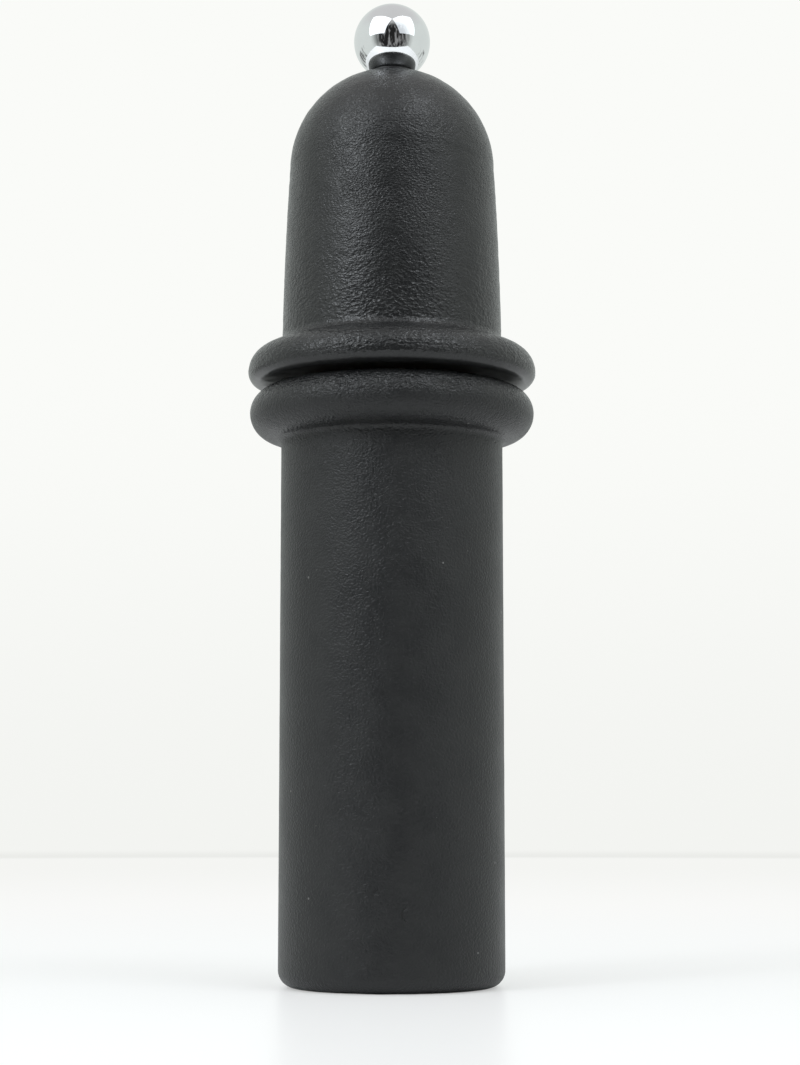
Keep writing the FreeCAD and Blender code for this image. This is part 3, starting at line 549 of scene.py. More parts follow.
# %% Coat of the head
def wrinkled_coat():
    material, tree, shader = new_finish("wrinkled_black_coat", Specular_IOR_Level=0.4)
    grain = place_group(tree, GRAIN, Scale=2600.0)
    dust = place_group(tree, SPECKS, Spacing=200.0, Size=0.05, Share=0.4)
    up = axes(tree, object_place(tree))["Z"]
    fine = folds_between(tree, up, HEAD_WALL, 0.3, 1.0, Scale=FINE_FOLDS)
    coarse = folds_between(tree, up, HEAD_WALL, 1.5, 0.0, Scale=COARSE_FOLDS)
    depth = combine(tree, "MULTIPLY", rise(tree, up, *UNDERSIDE), rise(tree, up, *DOME, 0.4, 1.0))
    folds = combine(tree, "MULTIPLY", combine(tree, "ADD", fine, coarse), depth)
    colour = coat_colour(tree, grain["Cloud"], dust["Mask"])
    polish = rise(tree, folds, -0.15, 0.15, *HEAD_POLISH)
    dress(tree, shader, colour, polish, bump(tree, folds, HEAD_RELIEF))
    return material


# %% [markdown]
# ## Bare beech
# Inside, the wood has no coat. Beech is a pale pinkish brown with faint growth rings and short dark
# flecks that run along the trunk. The grain of a turned mill runs up its axis, so rings are worked out
# round a pith that lies beside the mill, and flecks are noise that is stretched along the height.


# %% Bare beech inside the bores
BEECH_PALE = (0.60, 0.40, 0.24, 1.0)
BEECH_DARK = (0.53, 0.345, 0.20, 1.0)
BEECH_FLECK = (0.30, 0.17, 0.085, 1.0)
PITH = (0.055, 0.03, 0.0)
RING_RATE = 2400.0
RING_WOBBLE = 5.0
FLECK_STRETCH = (2200.0, 2200.0, 260.0)


def bare_beech():
    material, tree, shader = new_finish("bare_beech", Specular_IOR_Level=0.35)
    place = object_place(tree)
    wobble = noise(tree, place, 60.0, 2.0)
    from_pith = combine_vectors(tree, "SUBTRACT", place, PITH)
    level = combine_vectors(tree, "MULTIPLY", from_pith, (1.0, 1.0, 0.0))
    far = add_node(tree, "ShaderNodeVectorMath", {0: level}, operation="LENGTH").outputs["Value"]
    rings = combine(tree, "ADD", combine(tree, "MULTIPLY", far, RING_RATE),
                    combine(tree, "MULTIPLY", wobble, RING_WOBBLE))
    wave = add_node(tree, "ShaderNodeMath", {0: rings}, operation="SINE").outputs[0]
    ring = rise(tree, wave, -1.0, 1.0)
    fleck = noise(tree, combine_vectors(tree, "MULTIPLY", place, FLECK_STRETCH), 1.0, 2.0)
    flecks = rise(tree, fleck, 0.60, 0.68)
    wood = mix_colours(tree, ring, BEECH_PALE, BEECH_DARK)
    colour = mix_colours(tree, flecks, wood, BEECH_FLECK)
    dress(tree, shader, colour, rise(tree, fleck, *NOISE, 0.62, 0.78), bump(tree, fleck, 0.06 * MM, 0.6))
    return material


# %% [markdown]
# ## Metals
# Each metal is one shader with its own colour, and the marks of the way it was made change its
# roughness. The ball is polished and shows only a breath of haze, the bar that became the shaft was
# pulled through a die, the pressed steel parts have a dull zinc plating with a grain of its own, and
# the eyelet was turned from brass.


# %% Chrome, zinc, aluminium and brass
def metal(name, pale, dark, stretch, polish, depth):
    material, tree, shader = new_finish(name, Metallic=1.0)
    streak = place_group(tree, STREAKS, Stretch=stretch)["Streak"]
    cloud = place_group(tree, GRAIN, Scale=1500.0)["Cloud"]
    tone = rise(tree, combine(tree, "MULTIPLY", streak, cloud), 0.12, 0.40)
    colour = mix_colours(tree, tone, dark, pale)
    dress(tree, shader, colour, rise(tree, streak, *NOISE, *polish), bump(tree, streak, depth, 0.6))
    return material


def metals():
    return {
        "polished_chrome": metal("polished_chrome", (0.80, 0.81, 0.82, 1), (0.76, 0.77, 0.78, 1),
                                 (160.0, 160.0, 160.0), (0.02, 0.045), 0.001 * MM),
        "plated_steel": metal("zinc_plated_steel", (0.62, 0.62, 0.61, 1), (0.42, 0.42, 0.43, 1),
                              (700.0, 700.0, 700.0), (0.28, 0.46), 0.015 * MM),
        "drawn_aluminium": metal("drawn_aluminium", (0.74, 0.75, 0.76, 1), (0.56, 0.57, 0.58, 1),
                                 (2400.0, 2400.0, 30.0), (0.26, 0.44), 0.012 * MM),
        "yellow_brass": metal("turned_brass", (0.80, 0.61, 0.30, 1), (0.60, 0.42, 0.18, 1),
                              (120.0, 120.0, 3200.0), (0.22, 0.36), 0.010 * MM),
    }


# %% [markdown]
# ## Ceramic and plastics
# The burrs are sintered ceramic, an off-white with a dry grain and a little pepper dust in patches.
# The glide ring and the washer are natural nylon, which lets some light in, and the sleeve, the core
# and the retainer are black mouldings with a fine spark-eroded texture.


# %% Ceramic, nylon and black mouldings
def grained(name, pale, dark, scale, polish, depth, **values):
    material, tree, shader = new_finish(name, **values)
    grain = place_group(tree, GRAIN, Scale=scale, Roughness=0.65)
    tone = rise(tree, grain["Cloud"], *NOISE)
    colour = mix_colours(tree, tone, dark, pale)
    roughness = rise(tree, grain["Grain"], *NOISE, *polish)
    dress(tree, shader, colour, roughness, bump(tree, grain["Grain"], depth, 0.7))
    return material


def mouldings():
    return {
        "burr_ceramic": grained("burr_ceramic", (0.82, 0.79, 0.71, 1), (0.66, 0.61, 0.51, 1),
                                3000.0, (0.42, 0.62), 0.03 * MM),
        "white_nylon": grained("natural_nylon", (0.84, 0.83, 0.78, 1), (0.76, 0.75, 0.69, 1),
                               2200.0, (0.32, 0.45), 0.015 * MM, Subsurface_Weight=0.25,
                               Subsurface_Scale=0.0008),
        "black_plastic": grained("black_moulding", (0.034, 0.034, 0.035, 1), (0.022, 0.022, 0.023, 1),
                                 2600.0, (0.40, 0.56), 0.03 * MM),
    }


FINISHES = {**metals(), **mouldings()}
BODY_COAT = smooth_coat()
HEAD_COAT = wrinkled_coat()
BEECH = bare_beech()
print("finishes:", sorted(FINISHES))

# %% [markdown]
# ## Dressing the nodes
# Most of the grinder already has its right shape in the frame, so those nodes stay and only take a
# finish. The record says which material slot each node belongs to, and the finishes above carry the
# same names, so one loop dresses them all.

# %% Finishes for the nodes that stay
for part in frame["record"]["subparts"]:
    node = frame["nodes"][part["node"]]
    finish = FINISHES.get(part["material_slot"])
    if finish is None:
        continue
    node.data.materials.clear()
    node.data.materials.append(finish)
    print(part["node"], "in", finish.name)

# %% [markdown]
# ## Turning on the lathe
# Body, head and ball are lathe work, and Blender's spin is a lathe: one point is walked along half of
# the outline by extruding it again and again, and the line is then spun round the mill's axis. Straight
# stretches and arcs are divided at an even pitch, so that the coat has enough points to be uneven.


# %% Lines and arcs of an outline
WELD = 0.002 * MM
SMOOTH_ANGLE = math.radians(35)


def straight(start, end, pitch):
    """Points from start, left out, to end along a line, at most a pitch apart."""
    count = max(1, math.ceil(math.dist(start, end) / pitch))
    shares = [index / count for index in range(1, count + 1)]
    return [(start[0] + (end[0] - start[0]) * s, start[1] + (end[1] - start[1]) * s) for s in shares]


def arc(centre, radius, first, last, pitch):
    """Points from the angle first, left out, to the angle last, in degrees round a centre."""
    count = max(2, math.ceil(math.radians(abs(last - first)) * radius / pitch))
    angles = [math.radians(first + (last - first) * index / count) for index in range(1, count + 1)]
    return [(centre[0] + radius * math.cos(a), centre[1] + radius * math.sin(a)) for a in angles]


# %% A lathe
def walk_outline(name, outline):
    """A line through (radius, height) points in millimetres, left in edit mode and selected."""
    bpy.ops.object.select_all(action="DESELECT")
    bpy.ops.mesh.primitive_plane_add(size=MM)
    piece = bpy.context.object
    piece.name = name
    bpy.ops.object.mode_set(mode="EDIT")
    bpy.ops.mesh.merge(type="CENTER")
    place = (0.0, 0.0)
    for index, (radius, height) in enumerate(outline):
        step = ((radius - place[0]) * MM, 0, (height - place[1]) * MM)
        if index == 0:
            bpy.ops.transform.translate(value=step)
        else:
            bpy.ops.mesh.extrude_region_move(TRANSFORM_OT_translate={"value": step})
        place = (radius, height)
    bpy.ops.mesh.select_all(action="SELECT")
    return piece


def leave_edit_mode():
    """Turn every face of the active piece outwards and go back to object mode."""
    bpy.ops.mesh.select_all(action="SELECT")
    bpy.ops.mesh.normals_make_consistent(inside=False)
    bpy.ops.object.mode_set(mode="OBJECT")


def turn_on_lathe(name, outline, steps):
    """Spin an outline round the mill's axis into a closed piece."""
    piece = walk_outline(name, outline)
    bpy.ops.mesh.spin(steps=steps, angle=math.tau, center=(0, 0, 0), axis=(0, 0, 1))
    bpy.ops.mesh.select_all(action="SELECT")
    bpy.ops.mesh.remove_doubles(threshold=WELD)
    leave_edit_mode()
    bpy.ops.object.shade_smooth_by_angle(angle=SMOOTH_ANGLE)
    print(f"{name}: {len(piece.data.polygons)} faces")
    return piece


def radius_of(point):
    return math.hypot(point.x, point.y)


def paint_inside(piece, is_bare):
    """Give the first material to the coated faces and the second to the bare ones."""
    for face in piece.data.polygons:
        face.material_index = 1 if is_bare(face.center / MM) else 0


# %% [markdown]
# ## An uneven coat
# A sprayed coat on wood is never quite true. A displace modifier pulls the coated points in along their
# normals by about a tenth of a millimetre at most, following a cloud texture that is squeezed along the
# height. It only pulls in, so the piece stays inside its real size, and the bores and seats are left
# out, because other pieces fit there.


# %% Unevenness as real geometry
def roughen(piece, is_bare, texture_size, squeeze, depth):
    coat = piece.vertex_groups.new(name="coat")
    coat.add([v.index for v in piece.data.vertices if not is_bare(v.co / MM)], 1.0, "REPLACE")
    clouds = bpy.data.textures.new(f"{piece.name}_clouds", "CLOUDS")
    clouds.noise_scale = texture_size
    clouds.noise_depth = 2
    bpy.ops.object.empty_add()
    guide = bpy.context.object
    guide.scale = (1.0, 1.0, 1.0 / squeeze)
    bpy.context.view_layer.objects.active = piece
    bpy.context.view_layer.update()
    uneven = piece.modifiers.new("uneven", "DISPLACE")
    uneven.texture = clouds
    uneven.texture_coords = "OBJECT"
    uneven.texture_coords_object = guide
    uneven.vertex_group = "coat"
    uneven.strength = depth
    uneven.mid_level = 1.0
    bpy.ops.object.modifier_apply(modifier="uneven")
    bpy.data.objects.remove(guide)
    piece.vertex_groups.clear()


# %% [markdown]
# ## The turned body
# The body is a plain tube with a rounded foot. Above a small cove its top swells into a bead, which is
# two arcs that meet at its widest point.

# %% Sizes of the body
STEPS = 260
WALL_PITCH = 0.55
ROUND_PITCH = 0.3
BORE_PITCH = 8.0
BODY_RADIUS = 23.0
NECK_RADIUS = 22.95
FOOT_ROUND = 3.5
EDGE_BREAK = 0.4
RECESS = {"radius": 17.8, "depth": 8.0}
BORE_RADIUS = 13.0
MOUTH_BREAK = 0.8
BODY_BEAD_UPPER = 5.25
BODY_BEAD_LOWER = 5.5
BODY_COVE = 1.3
BARE_RIM = 18.0
RIM_MARGIN = 0.5
BODY_UNEVEN = {"texture_size": 5.0 * MM, "squeeze": 1.6, "depth": 0.05 * MM}

body_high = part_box("body")[1]
BODY_TOP = body_high.z / MM
BODY_BEAD_RADIUS = body_high.x / MM
BODY_BEAD_HEIGHT = BODY_TOP - BODY_BEAD_UPPER
print(f"body: {BODY_TOP:.1f} mm tall, bead {2 * BODY_BEAD_RADIUS:.1f} mm across")


# %% Outline of the body
def touching_cove(centre, radius, wall, cove, side):
    """Centre of a cove between a wall and a round, above it (side 1) or below (-1), and their angle."""
    offset = wall + cove - centre[0]
    meet = math.acos(offset / (radius + cove))
    return (wall + cove, centre[1] + side * (radius + cove) * math.sin(meet)), math.degrees(meet)


def body_outline():
    upper = (BODY_BEAD_RADIUS - BODY_BEAD_UPPER, BODY_BEAD_HEIGHT)
    lower = (BODY_BEAD_RADIUS - BODY_BEAD_LOWER, BODY_BEAD_HEIGHT)
    foot = (BODY_RADIUS - FOOT_ROUND, FOOT_ROUND)
    cove, meet = touching_cove(lower, BODY_BEAD_LOWER, NECK_RADIUS, BODY_COVE, -1)
    points = [(RECESS["radius"] + EDGE_BREAK, 0.0)]
    points += straight(points[-1], (foot[0], 0.0), WALL_PITCH)
    points += arc(foot, FOOT_ROUND, -90, 0, ROUND_PITCH)
    points += straight(points[-1], (NECK_RADIUS, cove[1]), WALL_PITCH)
    points += arc(cove, BODY_COVE, 180, 180 - meet, ROUND_PITCH)
    points += arc(lower, BODY_BEAD_LOWER, -meet, 0, ROUND_PITCH)
    points += arc(upper, BODY_BEAD_UPPER, 0, 90, ROUND_PITCH)
    points += straight(points[-1], (BARE_RIM, BODY_TOP), WALL_PITCH)
    points += [(BORE_RADIUS + MOUTH_BREAK, BODY_TOP), (BORE_RADIUS, BODY_TOP - MOUTH_BREAK)]
    points += straight(points[-1], (BORE_RADIUS, RECESS["depth"]), BORE_PITCH)
    points += [(RECESS["radius"], RECESS["depth"]), (RECESS["radius"], EDGE_BREAK), points[0]]
    return points


def body_is_bare(point):
    return radius_of(point) < BARE_RIM + RIM_MARGIN


# %% Turn and coat the body
turned_body = turn_on_lathe("turned_body", body_outline(), STEPS)
turned_body.data.materials.append(BODY_COAT)
turned_body.data.materials.append(BEECH)
paint_inside(turned_body, body_is_bare)
roughen(turned_body, body_is_bare, **BODY_UNEVEN)
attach(turned_body, "mill_body")
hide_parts("body")

# %% [markdown]
# ## The turned head
# The head starts with a bead like the body's, with a smaller round below, so that a dark groove shows
# between the two. A cove leads up to the wall, which draws in a little on its way to the dome. Below, a
# bare spigot goes down into the body, with a groove for the glide ring and a seat for the drive plate.

# %% Sizes of the head
HEAD_PITCH = 0.3
HEAD_BEAD_UPPER = 5.55
HEAD_BEAD_HEIGHT = 125.6
COVE_RADIUS = 2.4
HEAD_FOOT_RADIUS = 22.85
WALL_CURVE = 800.0
DOME_RADIUS = 21.45
DOME_HEIGHT = 169.1
SEAT_RADIUS = 4.9
SEAT_MARGIN = 0.1
SPIGOT = {"radius": 12.7, "length": 13.7, "break": 0.5, "groove_radius": 12.0, "groove_length": 8.3}
PLATE_SEAT = {"radius": 11.3, "depth": 1.5}
SHAFT_BORE = {"radius": 4.8, "top": 181.0}
EYELET_SEAT = {"radius": 4.35, "depth": 0.6, "hole": 3.55}
HEAD_UNEVEN = {"texture_size": 3.0 * MM, "squeeze": 2.0, "depth": 0.12 * MM}

head_low, head_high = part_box("head")
SPIGOT_BOTTOM = head_low.z / MM
HEAD_BEAD_RADIUS = head_high.x / MM
HEAD_BOTTOM = SPIGOT_BOTTOM + SPIGOT["length"]
SEAT_HEIGHT = DOME_HEIGHT + math.sqrt(DOME_RADIUS ** 2 - SEAT_RADIUS ** 2)
print(f"head: {HEAD_BOTTOM:.1f} to {SEAT_HEIGHT:.1f} mm, bead {2 * HEAD_BEAD_RADIUS:.1f} mm across")


# %% Outline of the head
def wall_arc(start, end, radius, pitch):
    """A slightly swelling wall: an arc from start to end whose centre is on the axis side."""
    along = Vector((end[0] - start[0], end[1] - start[1]))
    middle = Vector((start[0] + end[0], start[1] + end[1])) / 2
    inwards = Vector((-along.y, along.x)).normalized()
    centre = middle + inwards * math.sqrt(radius ** 2 - (along.length / 2) ** 2)
    angles = [math.degrees(math.atan2(p[1] - centre.y, p[0] - centre.x)) for p in (start, end)]
    return arc(centre, radius, *angles, pitch)


def head_outline():
    bead = (HEAD_BEAD_RADIUS - HEAD_BEAD_UPPER, HEAD_BEAD_HEIGHT)
    cove, meet = touching_cove(bead, HEAD_BEAD_UPPER, HEAD_FOOT_RADIUS, COVE_RADIUS, 1)
    lower_round = HEAD_BEAD_HEIGHT - HEAD_BOTTOM
    lower = (HEAD_BEAD_RADIUS - lower_round, HEAD_BEAD_HEIGHT)
    groove_bottom = HEAD_BOTTOM - SPIGOT["groove_length"]
    plate_top = SPIGOT_BOTTOM + PLATE_SEAT["depth"]
    flange_seat = SEAT_HEIGHT - EYELET_SEAT["depth"]
    points = [
        (PLATE_SEAT["radius"], SPIGOT_BOTTOM),
        (SPIGOT["radius"] - SPIGOT["break"], SPIGOT_BOTTOM),
        (SPIGOT["radius"], SPIGOT_BOTTOM + SPIGOT["break"]),
        (SPIGOT["radius"], groove_bottom),
        (SPIGOT["groove_radius"], groove_bottom),
        (SPIGOT["groove_radius"], HEAD_BOTTOM),
        (BARE_RIM, HEAD_BOTTOM),
    ]
    points += straight(points[-1], (lower[0], HEAD_BOTTOM), WALL_PITCH)
    points += arc(lower, lower_round, -90, 0, HEAD_PITCH)
    points += arc(bead, HEAD_BEAD_UPPER, 0, meet, HEAD_PITCH)
    points += arc(cove, COVE_RADIUS, 180 + meet, 180, HEAD_PITCH)
    points += wall_arc(points[-1], (DOME_RADIUS, DOME_HEIGHT), WALL_CURVE, HEAD_PITCH)
    seat_angle = math.degrees(math.acos(SEAT_RADIUS / DOME_RADIUS))
    points += arc((0.0, DOME_HEIGHT), DOME_RADIUS, 0, seat_angle, HEAD_PITCH)
    points += [
        (EYELET_SEAT["radius"], SEAT_HEIGHT),
        (EYELET_SEAT["radius"], flange_seat),
        (EYELET_SEAT["hole"], flange_seat),
        (EYELET_SEAT["hole"], SHAFT_BORE["top"]),
        (SHAFT_BORE["radius"], SHAFT_BORE["top"]),
    ]
    points += straight(points[-1], (SHAFT_BORE["radius"], plate_top), BORE_PITCH)
    points += [(PLATE_SEAT["radius"], plate_top), points[0]]
    return points


def head_is_bare(point):
    low = point.z < HEAD_BOTTOM + SEAT_MARGIN and radius_of(point) < BARE_RIM + RIM_MARGIN
    return low or radius_of(point) < EYELET_SEAT["radius"] + SEAT_MARGIN


# %% Turn and coat the head
turned_head = turn_on_lathe("turned_head", head_outline(), STEPS)
turned_head.data.materials.append(HEAD_COAT)
turned_head.data.materials.append(BEECH)
paint_inside(turned_head, head_is_bare)
roughen(turned_head, head_is_bare, **HEAD_UNEVEN)
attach(turned_head, "mill_head")
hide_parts("head")

# %% [markdown]
# ## The ball nut
# The ball is a polished sphere with a small flat where it sits on its washer and a blind hole, which
# is threaded in the real nut and left plain here.
# It is the only mirror on the mill, so its mesh is fine, and its flat has a broken edge.

# %% Ball nut
BALL_STEPS = 128
BALL_PITCH = 0.35
BALL_BORE = {"radius": 2.5, "top": 202.8}
FLAT_BREAK = 0.15

ball_low, ball_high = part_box("ball_nut")
BALL_RADIUS = ball_high.x / MM
BALL_HEIGHT = ball_high.z / MM - BALL_RADIUS
NUT_BOTTOM = ball_low.z / MM


def ball_outline():
    drop = BALL_HEIGHT - NUT_BOTTOM
    flat = math.sqrt(BALL_RADIUS ** 2 - drop ** 2)
    start = -math.degrees(math.asin((drop - FLAT_BREAK) / BALL_RADIUS))
    points = [(BALL_BORE["radius"], NUT_BOTTOM), (flat - FLAT_BREAK, NUT_BOTTOM)]
    points += arc((0.0, BALL_HEIGHT), BALL_RADIUS, start - 0.01, 90, BALL_PITCH)
    points += [(0.0, BALL_BORE["top"]), (BALL_BORE["radius"], BALL_BORE["top"]), points[0]]
    return points


polished_ball = turn_on_lathe("polished_ball", ball_outline(), BALL_STEPS)
polished_ball.data.materials.append(FINISHES["polished_chrome"])
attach(polished_ball, "ball_nut")
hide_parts("ball_nut")

# %% [markdown]
# ## Cutting a thread
# A screw thread is a ridge that climbs round a rod. Its section is a small triangle, and the Screw
# modifier winds it up the axis by one pitch a turn. The open ends of the ridge are then filled, and the
# ridge is joined to the rod that it sits on.


# %% Thread and joining
THREAD_STEPS = 24
ROD_STEPS = 48
RIDGE_HALF = 0.42
RIDGE_ROOT = 0.1


def close_ends():
    """Cap the open ends of the wound piece that is active."""
    bpy.ops.object.mode_set(mode="EDIT")
    bpy.ops.mesh.select_all(action="SELECT")
    bpy.ops.mesh.remove_doubles(threshold=WELD)
    bpy.ops.mesh.fill_holes(sides=0)
    leave_edit_mode()


def wind_thread(name, core, crest, pitch, bottom, top):
    """A closed ridge from radius core to crest that climbs from bottom to top."""
    half = pitch * RIDGE_HALF
    root = core - RIDGE_ROOT
    section = [(root, bottom), (crest, bottom + half), (root, bottom + 2 * half), (root, bottom)]
    ridge = walk_outline(name, section)
    bpy.ops.mesh.remove_doubles(threshold=WELD)
    bpy.ops.object.mode_set(mode="OBJECT")
    climb = ridge.modifiers.new("climb", "SCREW")
    climb.axis = "Z"
    climb.angle = math.tau
    climb.screw_offset = pitch * MM
    climb.iterations = int((top - bottom - 2 * half) / pitch)
    climb.steps = climb.render_steps = THREAD_STEPS
    bpy.ops.object.modifier_apply(modifier="climb")
    close_ends()
    return ridge


def join_pieces(name, pieces):
    bpy.ops.object.select_all(action="DESELECT")
    for piece in pieces:
        piece.select_set(True)
    bpy.context.view_layer.objects.active = pieces[0]
    bpy.ops.object.join()
    joined = bpy.context.object
    joined.name = name
    bpy.ops.object.shade_smooth_by_angle(angle=SMOOTH_ANGLE)
    return joined


# %% [markdown]
# ## The drive shaft
# The shaft is drawn square bar. Its foot is turned down to a smaller square that the grinder's core sits
# on and a round journal that runs in the crossbar, with a groove for the clip. Its top is turned round
# and threaded for the ball. The bar is one square that is extruded, widened and extruded again.

# %% Shaft
BAR = {"side": 6.0, "corner": 0.5, "top": 177.4}
TANG = {"side": 4.0, "bottom": 16.2, "top": 29.0}
JOURNAL = {"radius": 1.9, "groove": 1.45, "groove_bottom": 15.6, "break": 0.3}
STUD = {"core": 2.05, "crest": 2.45, "pitch": 0.8, "break": 0.6}

shaft_low, shaft_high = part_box("shaft")
SHAFT_BOTTOM = shaft_low.z / MM
SHAFT_TOP = shaft_high.z / MM


def square_bar():
    bpy.ops.object.select_all(action="DESELECT")
    bpy.ops.mesh.primitive_plane_add(size=TANG["side"] * MM, location=(0, 0, TANG["bottom"] * MM))
    bpy.ops.object.transform_apply(location=True)
    bpy.ops.object.mode_set(mode="EDIT")
    widen = BAR["side"] / TANG["side"]
    bpy.ops.mesh.bevel(offset=BAR["corner"] * MM / widen, segments=4, affect="VERTICES")
    tang_length = (TANG["top"] - TANG["bottom"]) * MM
    bpy.ops.mesh.extrude_region_move(TRANSFORM_OT_translate={"value": (0, 0, tang_length)})
    bpy.ops.mesh.extrude_region_move()
    bpy.ops.transform.resize(value=(widen, widen, 1.0))
    bar_length = (BAR["top"] - TANG["top"]) * MM
    bpy.ops.mesh.extrude_region_move(TRANSFORM_OT_translate={"value": (0, 0, bar_length)})
    leave_edit_mode()
    return bpy.context.object


def journal_outline():
    edge = JOURNAL["radius"] - JOURNAL["break"]
    return [
        (0.0, SHAFT_BOTTOM),
        (edge, SHAFT_BOTTOM),
        (JOURNAL["radius"], SHAFT_BOTTOM + JOURNAL["break"]),
        (JOURNAL["radius"], JOURNAL["groove_bottom"]),
        (JOURNAL["groove"], JOURNAL["groove_bottom"]),
        (JOURNAL["groove"], TANG["bottom"]),
        (0.0, TANG["bottom"]),
    ]


def stud_outline():
    return [
        (0.0, BAR["top"]),
        (STUD["core"], BAR["top"]),
        (STUD["core"], SHAFT_TOP - STUD["break"]),
        (STUD["core"] - STUD["break"], SHAFT_TOP),
        (0.0, SHAFT_TOP),
    ]


threaded_shaft = join_pieces("threaded_shaft", [
    square_bar(),
    turn_on_lathe("journal", journal_outline(), ROD_STEPS),
    turn_on_lathe("stud", stud_outline(), ROD_STEPS),
    wind_thread("stud_thread", STUD["core"], STUD["crest"], STUD["pitch"], BAR["top"],
                SHAFT_TOP - STUD["break"]),
])
threaded_shaft.data.materials.clear()
threaded_shaft.data.materials.append(FINISHES["drawn_aluminium"])
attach(threaded_shaft, "drive_shaft")
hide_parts("shaft")
print("shaft:", len(threaded_shaft.data.polygons), "faces")

# %% [markdown]
# ## The spring
# A small compression spring pushes the grinder's core up against the nut. Its wire is a circle that the
# Screw modifier winds up the axis, with capped ends. When the nut is turned the spring gets longer or
# shorter.

# %% Spring
SPRING = {"radius": 4.3, "wire": 0.45, "turns": 4.5}
COIL_STEPS = 36
WIRE_STEPS = 14

spring_low, spring_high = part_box("spring")
SPRING_FOOT = spring_low.z / MM + SPRING["wire"]
SPRING_RISE = (spring_high.z - spring_low.z) / MM - 2 * SPRING["wire"]

bpy.ops.object.select_all(action="DESELECT")
bpy.ops.mesh.primitive_circle_add(vertices=WIRE_STEPS, radius=SPRING["wire"] * MM,
                                  rotation=(math.pi / 2, 0, 0),
                                  location=(SPRING["radius"] * MM, 0, SPRING_FOOT * MM))
coiled_spring = bpy.context.object
coiled_spring.name = "coiled_spring"
bpy.ops.object.transform_apply(location=True, rotation=True)
coil = coiled_spring.modifiers.new("coil", "SCREW")
coil.axis = "Z"
coil.angle = math.tau * SPRING["turns"]
coil.screw_offset = SPRING_RISE * MM
coil.steps = coil.render_steps = round(COIL_STEPS * SPRING["turns"])
bpy.ops.object.modifier_apply(modifier="coil")
close_ends()
bpy.ops.object.shade_smooth_by_angle(angle=SMOOTH_ANGLE)
coiled_spring.data.materials.append(FINISHES["plated_steel"])
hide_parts("spring")
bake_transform(coiled_spring)
print("spring:", len(coiled_spring.data.polygons), "faces")

# %% [markdown]
# ## Wood screws
# Two pan-head screws hold the crossbar and three countersunk ones hold the drive plate. Each is turned,
# threaded, and given a cross recess by cutting two small bars out of its head. One screw of each kind is
# modelled on the mill's axis, then copied to its places, and the copies of a kind are one piece, as they
# are one node in the frame.


# %% Cross recess and copies
RECESS_WIDTH = 0.55
RECESS_DEPTH = 0.8


def cut_recess(screw, bottom, span):
    """Cut a cross of two bars into the underside of a head whose lowest point is at bottom."""
    for name, turn in (("first_slot", math.pi / 4), ("second_slot", -math.pi / 4)):
        bpy.ops.object.select_all(action="DESELECT")
        bpy.ops.mesh.primitive_cube_add(size=MM, location=(0, 0, bottom * MM), rotation=(0, 0, turn))
        cutter = bpy.context.object
        cutter.scale = (span, RECESS_WIDTH, 2 * RECESS_DEPTH)
        slot = screw.modifiers.new(name, "BOOLEAN")
        slot.object = cutter
        slot.operation = "DIFFERENCE"
        bpy.context.view_layer.objects.active = screw
        bpy.ops.object.modifier_apply(modifier=name)
        bpy.data.objects.remove(cutter)


def place_copies(name, screw, places):
    copies = []
    for x, y in places:
        bpy.ops.object.select_all(action="DESELECT")
        screw.select_set(True)
        bpy.context.view_layer.objects.active = screw
        bpy.ops.object.duplicate()
        bpy.ops.transform.translate(value=(x * MM, y * MM, 0))
        bpy.ops.object.transform_apply(location=True)
        copies.append(bpy.context.object)
    bpy.data.objects.remove(screw)
    row = join_pieces(name, copies)
    row.data.materials.clear()
    row.data.materials.append(FINISHES["plated_steel"])
    print(f"{name}: {len(places)} screws, {len(row.data.polygons)} faces")
    return row


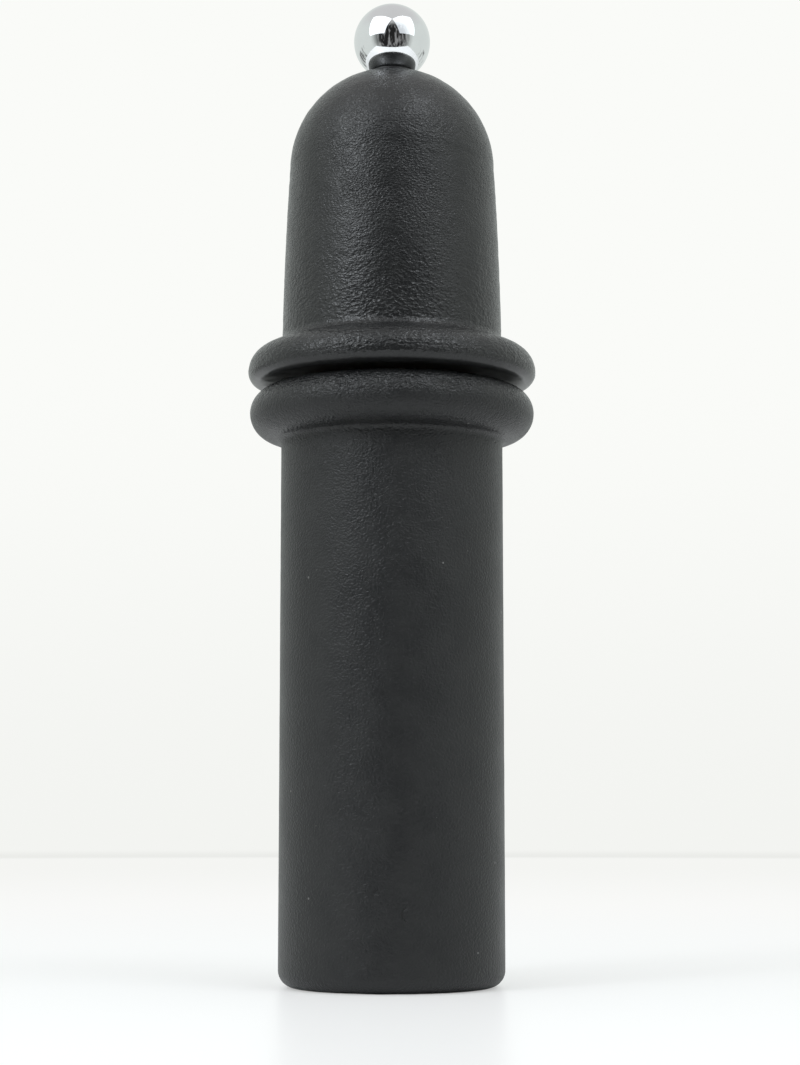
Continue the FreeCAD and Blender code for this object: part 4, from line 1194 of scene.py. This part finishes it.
# %% Wood screws
RUNOUT = 0.4
EDGE_PITCH = 0.15
PAN_SCREW = {"head": 2.3, "edge": 0.8, "shank": 1.2, "collar": 1.4, "core": 0.85, "pitch": 1.0,
             "point": 2.0, "slot": 2.6}
PLATE_SCREW = {"head": 2.2, "shank": 1.1, "collar": 0.9, "core": 0.78, "pitch": 0.9,
               "point": 2.0, "slot": 2.4}


def wood_screw(name, head, sizes, seat, top):
    """A screw whose head has the outline given, with its shank from seat up to a point at top."""
    collar = seat + sizes["collar"]
    point = top - sizes["point"]
    shank = [(sizes["shank"], seat), (sizes["shank"], collar)]
    core = [(sizes["core"], collar + RUNOUT), (sizes["core"], point), (0.0, top)]
    screw = turn_on_lathe(name, head + shank + core, ROD_STEPS)
    cut_recess(screw, head[0][1], sizes["slot"])
    thread = wind_thread(f"{name}_thread", sizes["core"], sizes["shank"], sizes["pitch"],
                         collar + RUNOUT / 2, point + RUNOUT)
    return join_pieces(name, [screw, thread])


def pan_screw(low, seat, top):
    sizes = PAN_SCREW
    rim = sizes["head"] - sizes["edge"]
    head = [(0.0, low), (rim, low)]
    head += arc((rim, low + sizes["edge"]), sizes["edge"], -90, 0, EDGE_PITCH)
    return wood_screw("pan_screw", head + [(sizes["head"], seat)], sizes, seat, top)


def plate_screw(low, top):
    sizes = PLATE_SCREW
    neck = low + sizes["head"] - sizes["shank"]
    return wood_screw("plate_screw", [(0.0, low), (sizes["head"], low)], sizes, neck, top)


# %% Screws of the crossbar
crossbar_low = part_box("crossbar")[0]
pan_low, pan_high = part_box("crossbar_screws")
PAN_PLACE = pan_high.x / MM - PAN_SCREW["head"]
pan = pan_screw(pan_low.z / MM, crossbar_low.z / MM, pan_high.z / MM)
crossbar_screws = place_copies("threaded_crossbar_screws", pan, [(-PAN_PLACE, 0.0), (PAN_PLACE, 0.0)])
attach(crossbar_screws, "mill_body")
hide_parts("crossbar_screws")

# %% Screws of the drive plate
csk_low, csk_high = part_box("drive_plate_screws")
CIRCLE = csk_high.x / MM - PLATE_SCREW["head"]
TURNS = [math.tau * index / 3 for index in range(3)]
csk = plate_screw(csk_low.z / MM, csk_high.z / MM)
plate_screws = place_copies("threaded_plate_screws", csk,
                            [(CIRCLE * math.cos(turn), CIRCLE * math.sin(turn)) for turn in TURNS])
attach(plate_screws, "mill_head")
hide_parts("drive_plate_screws")
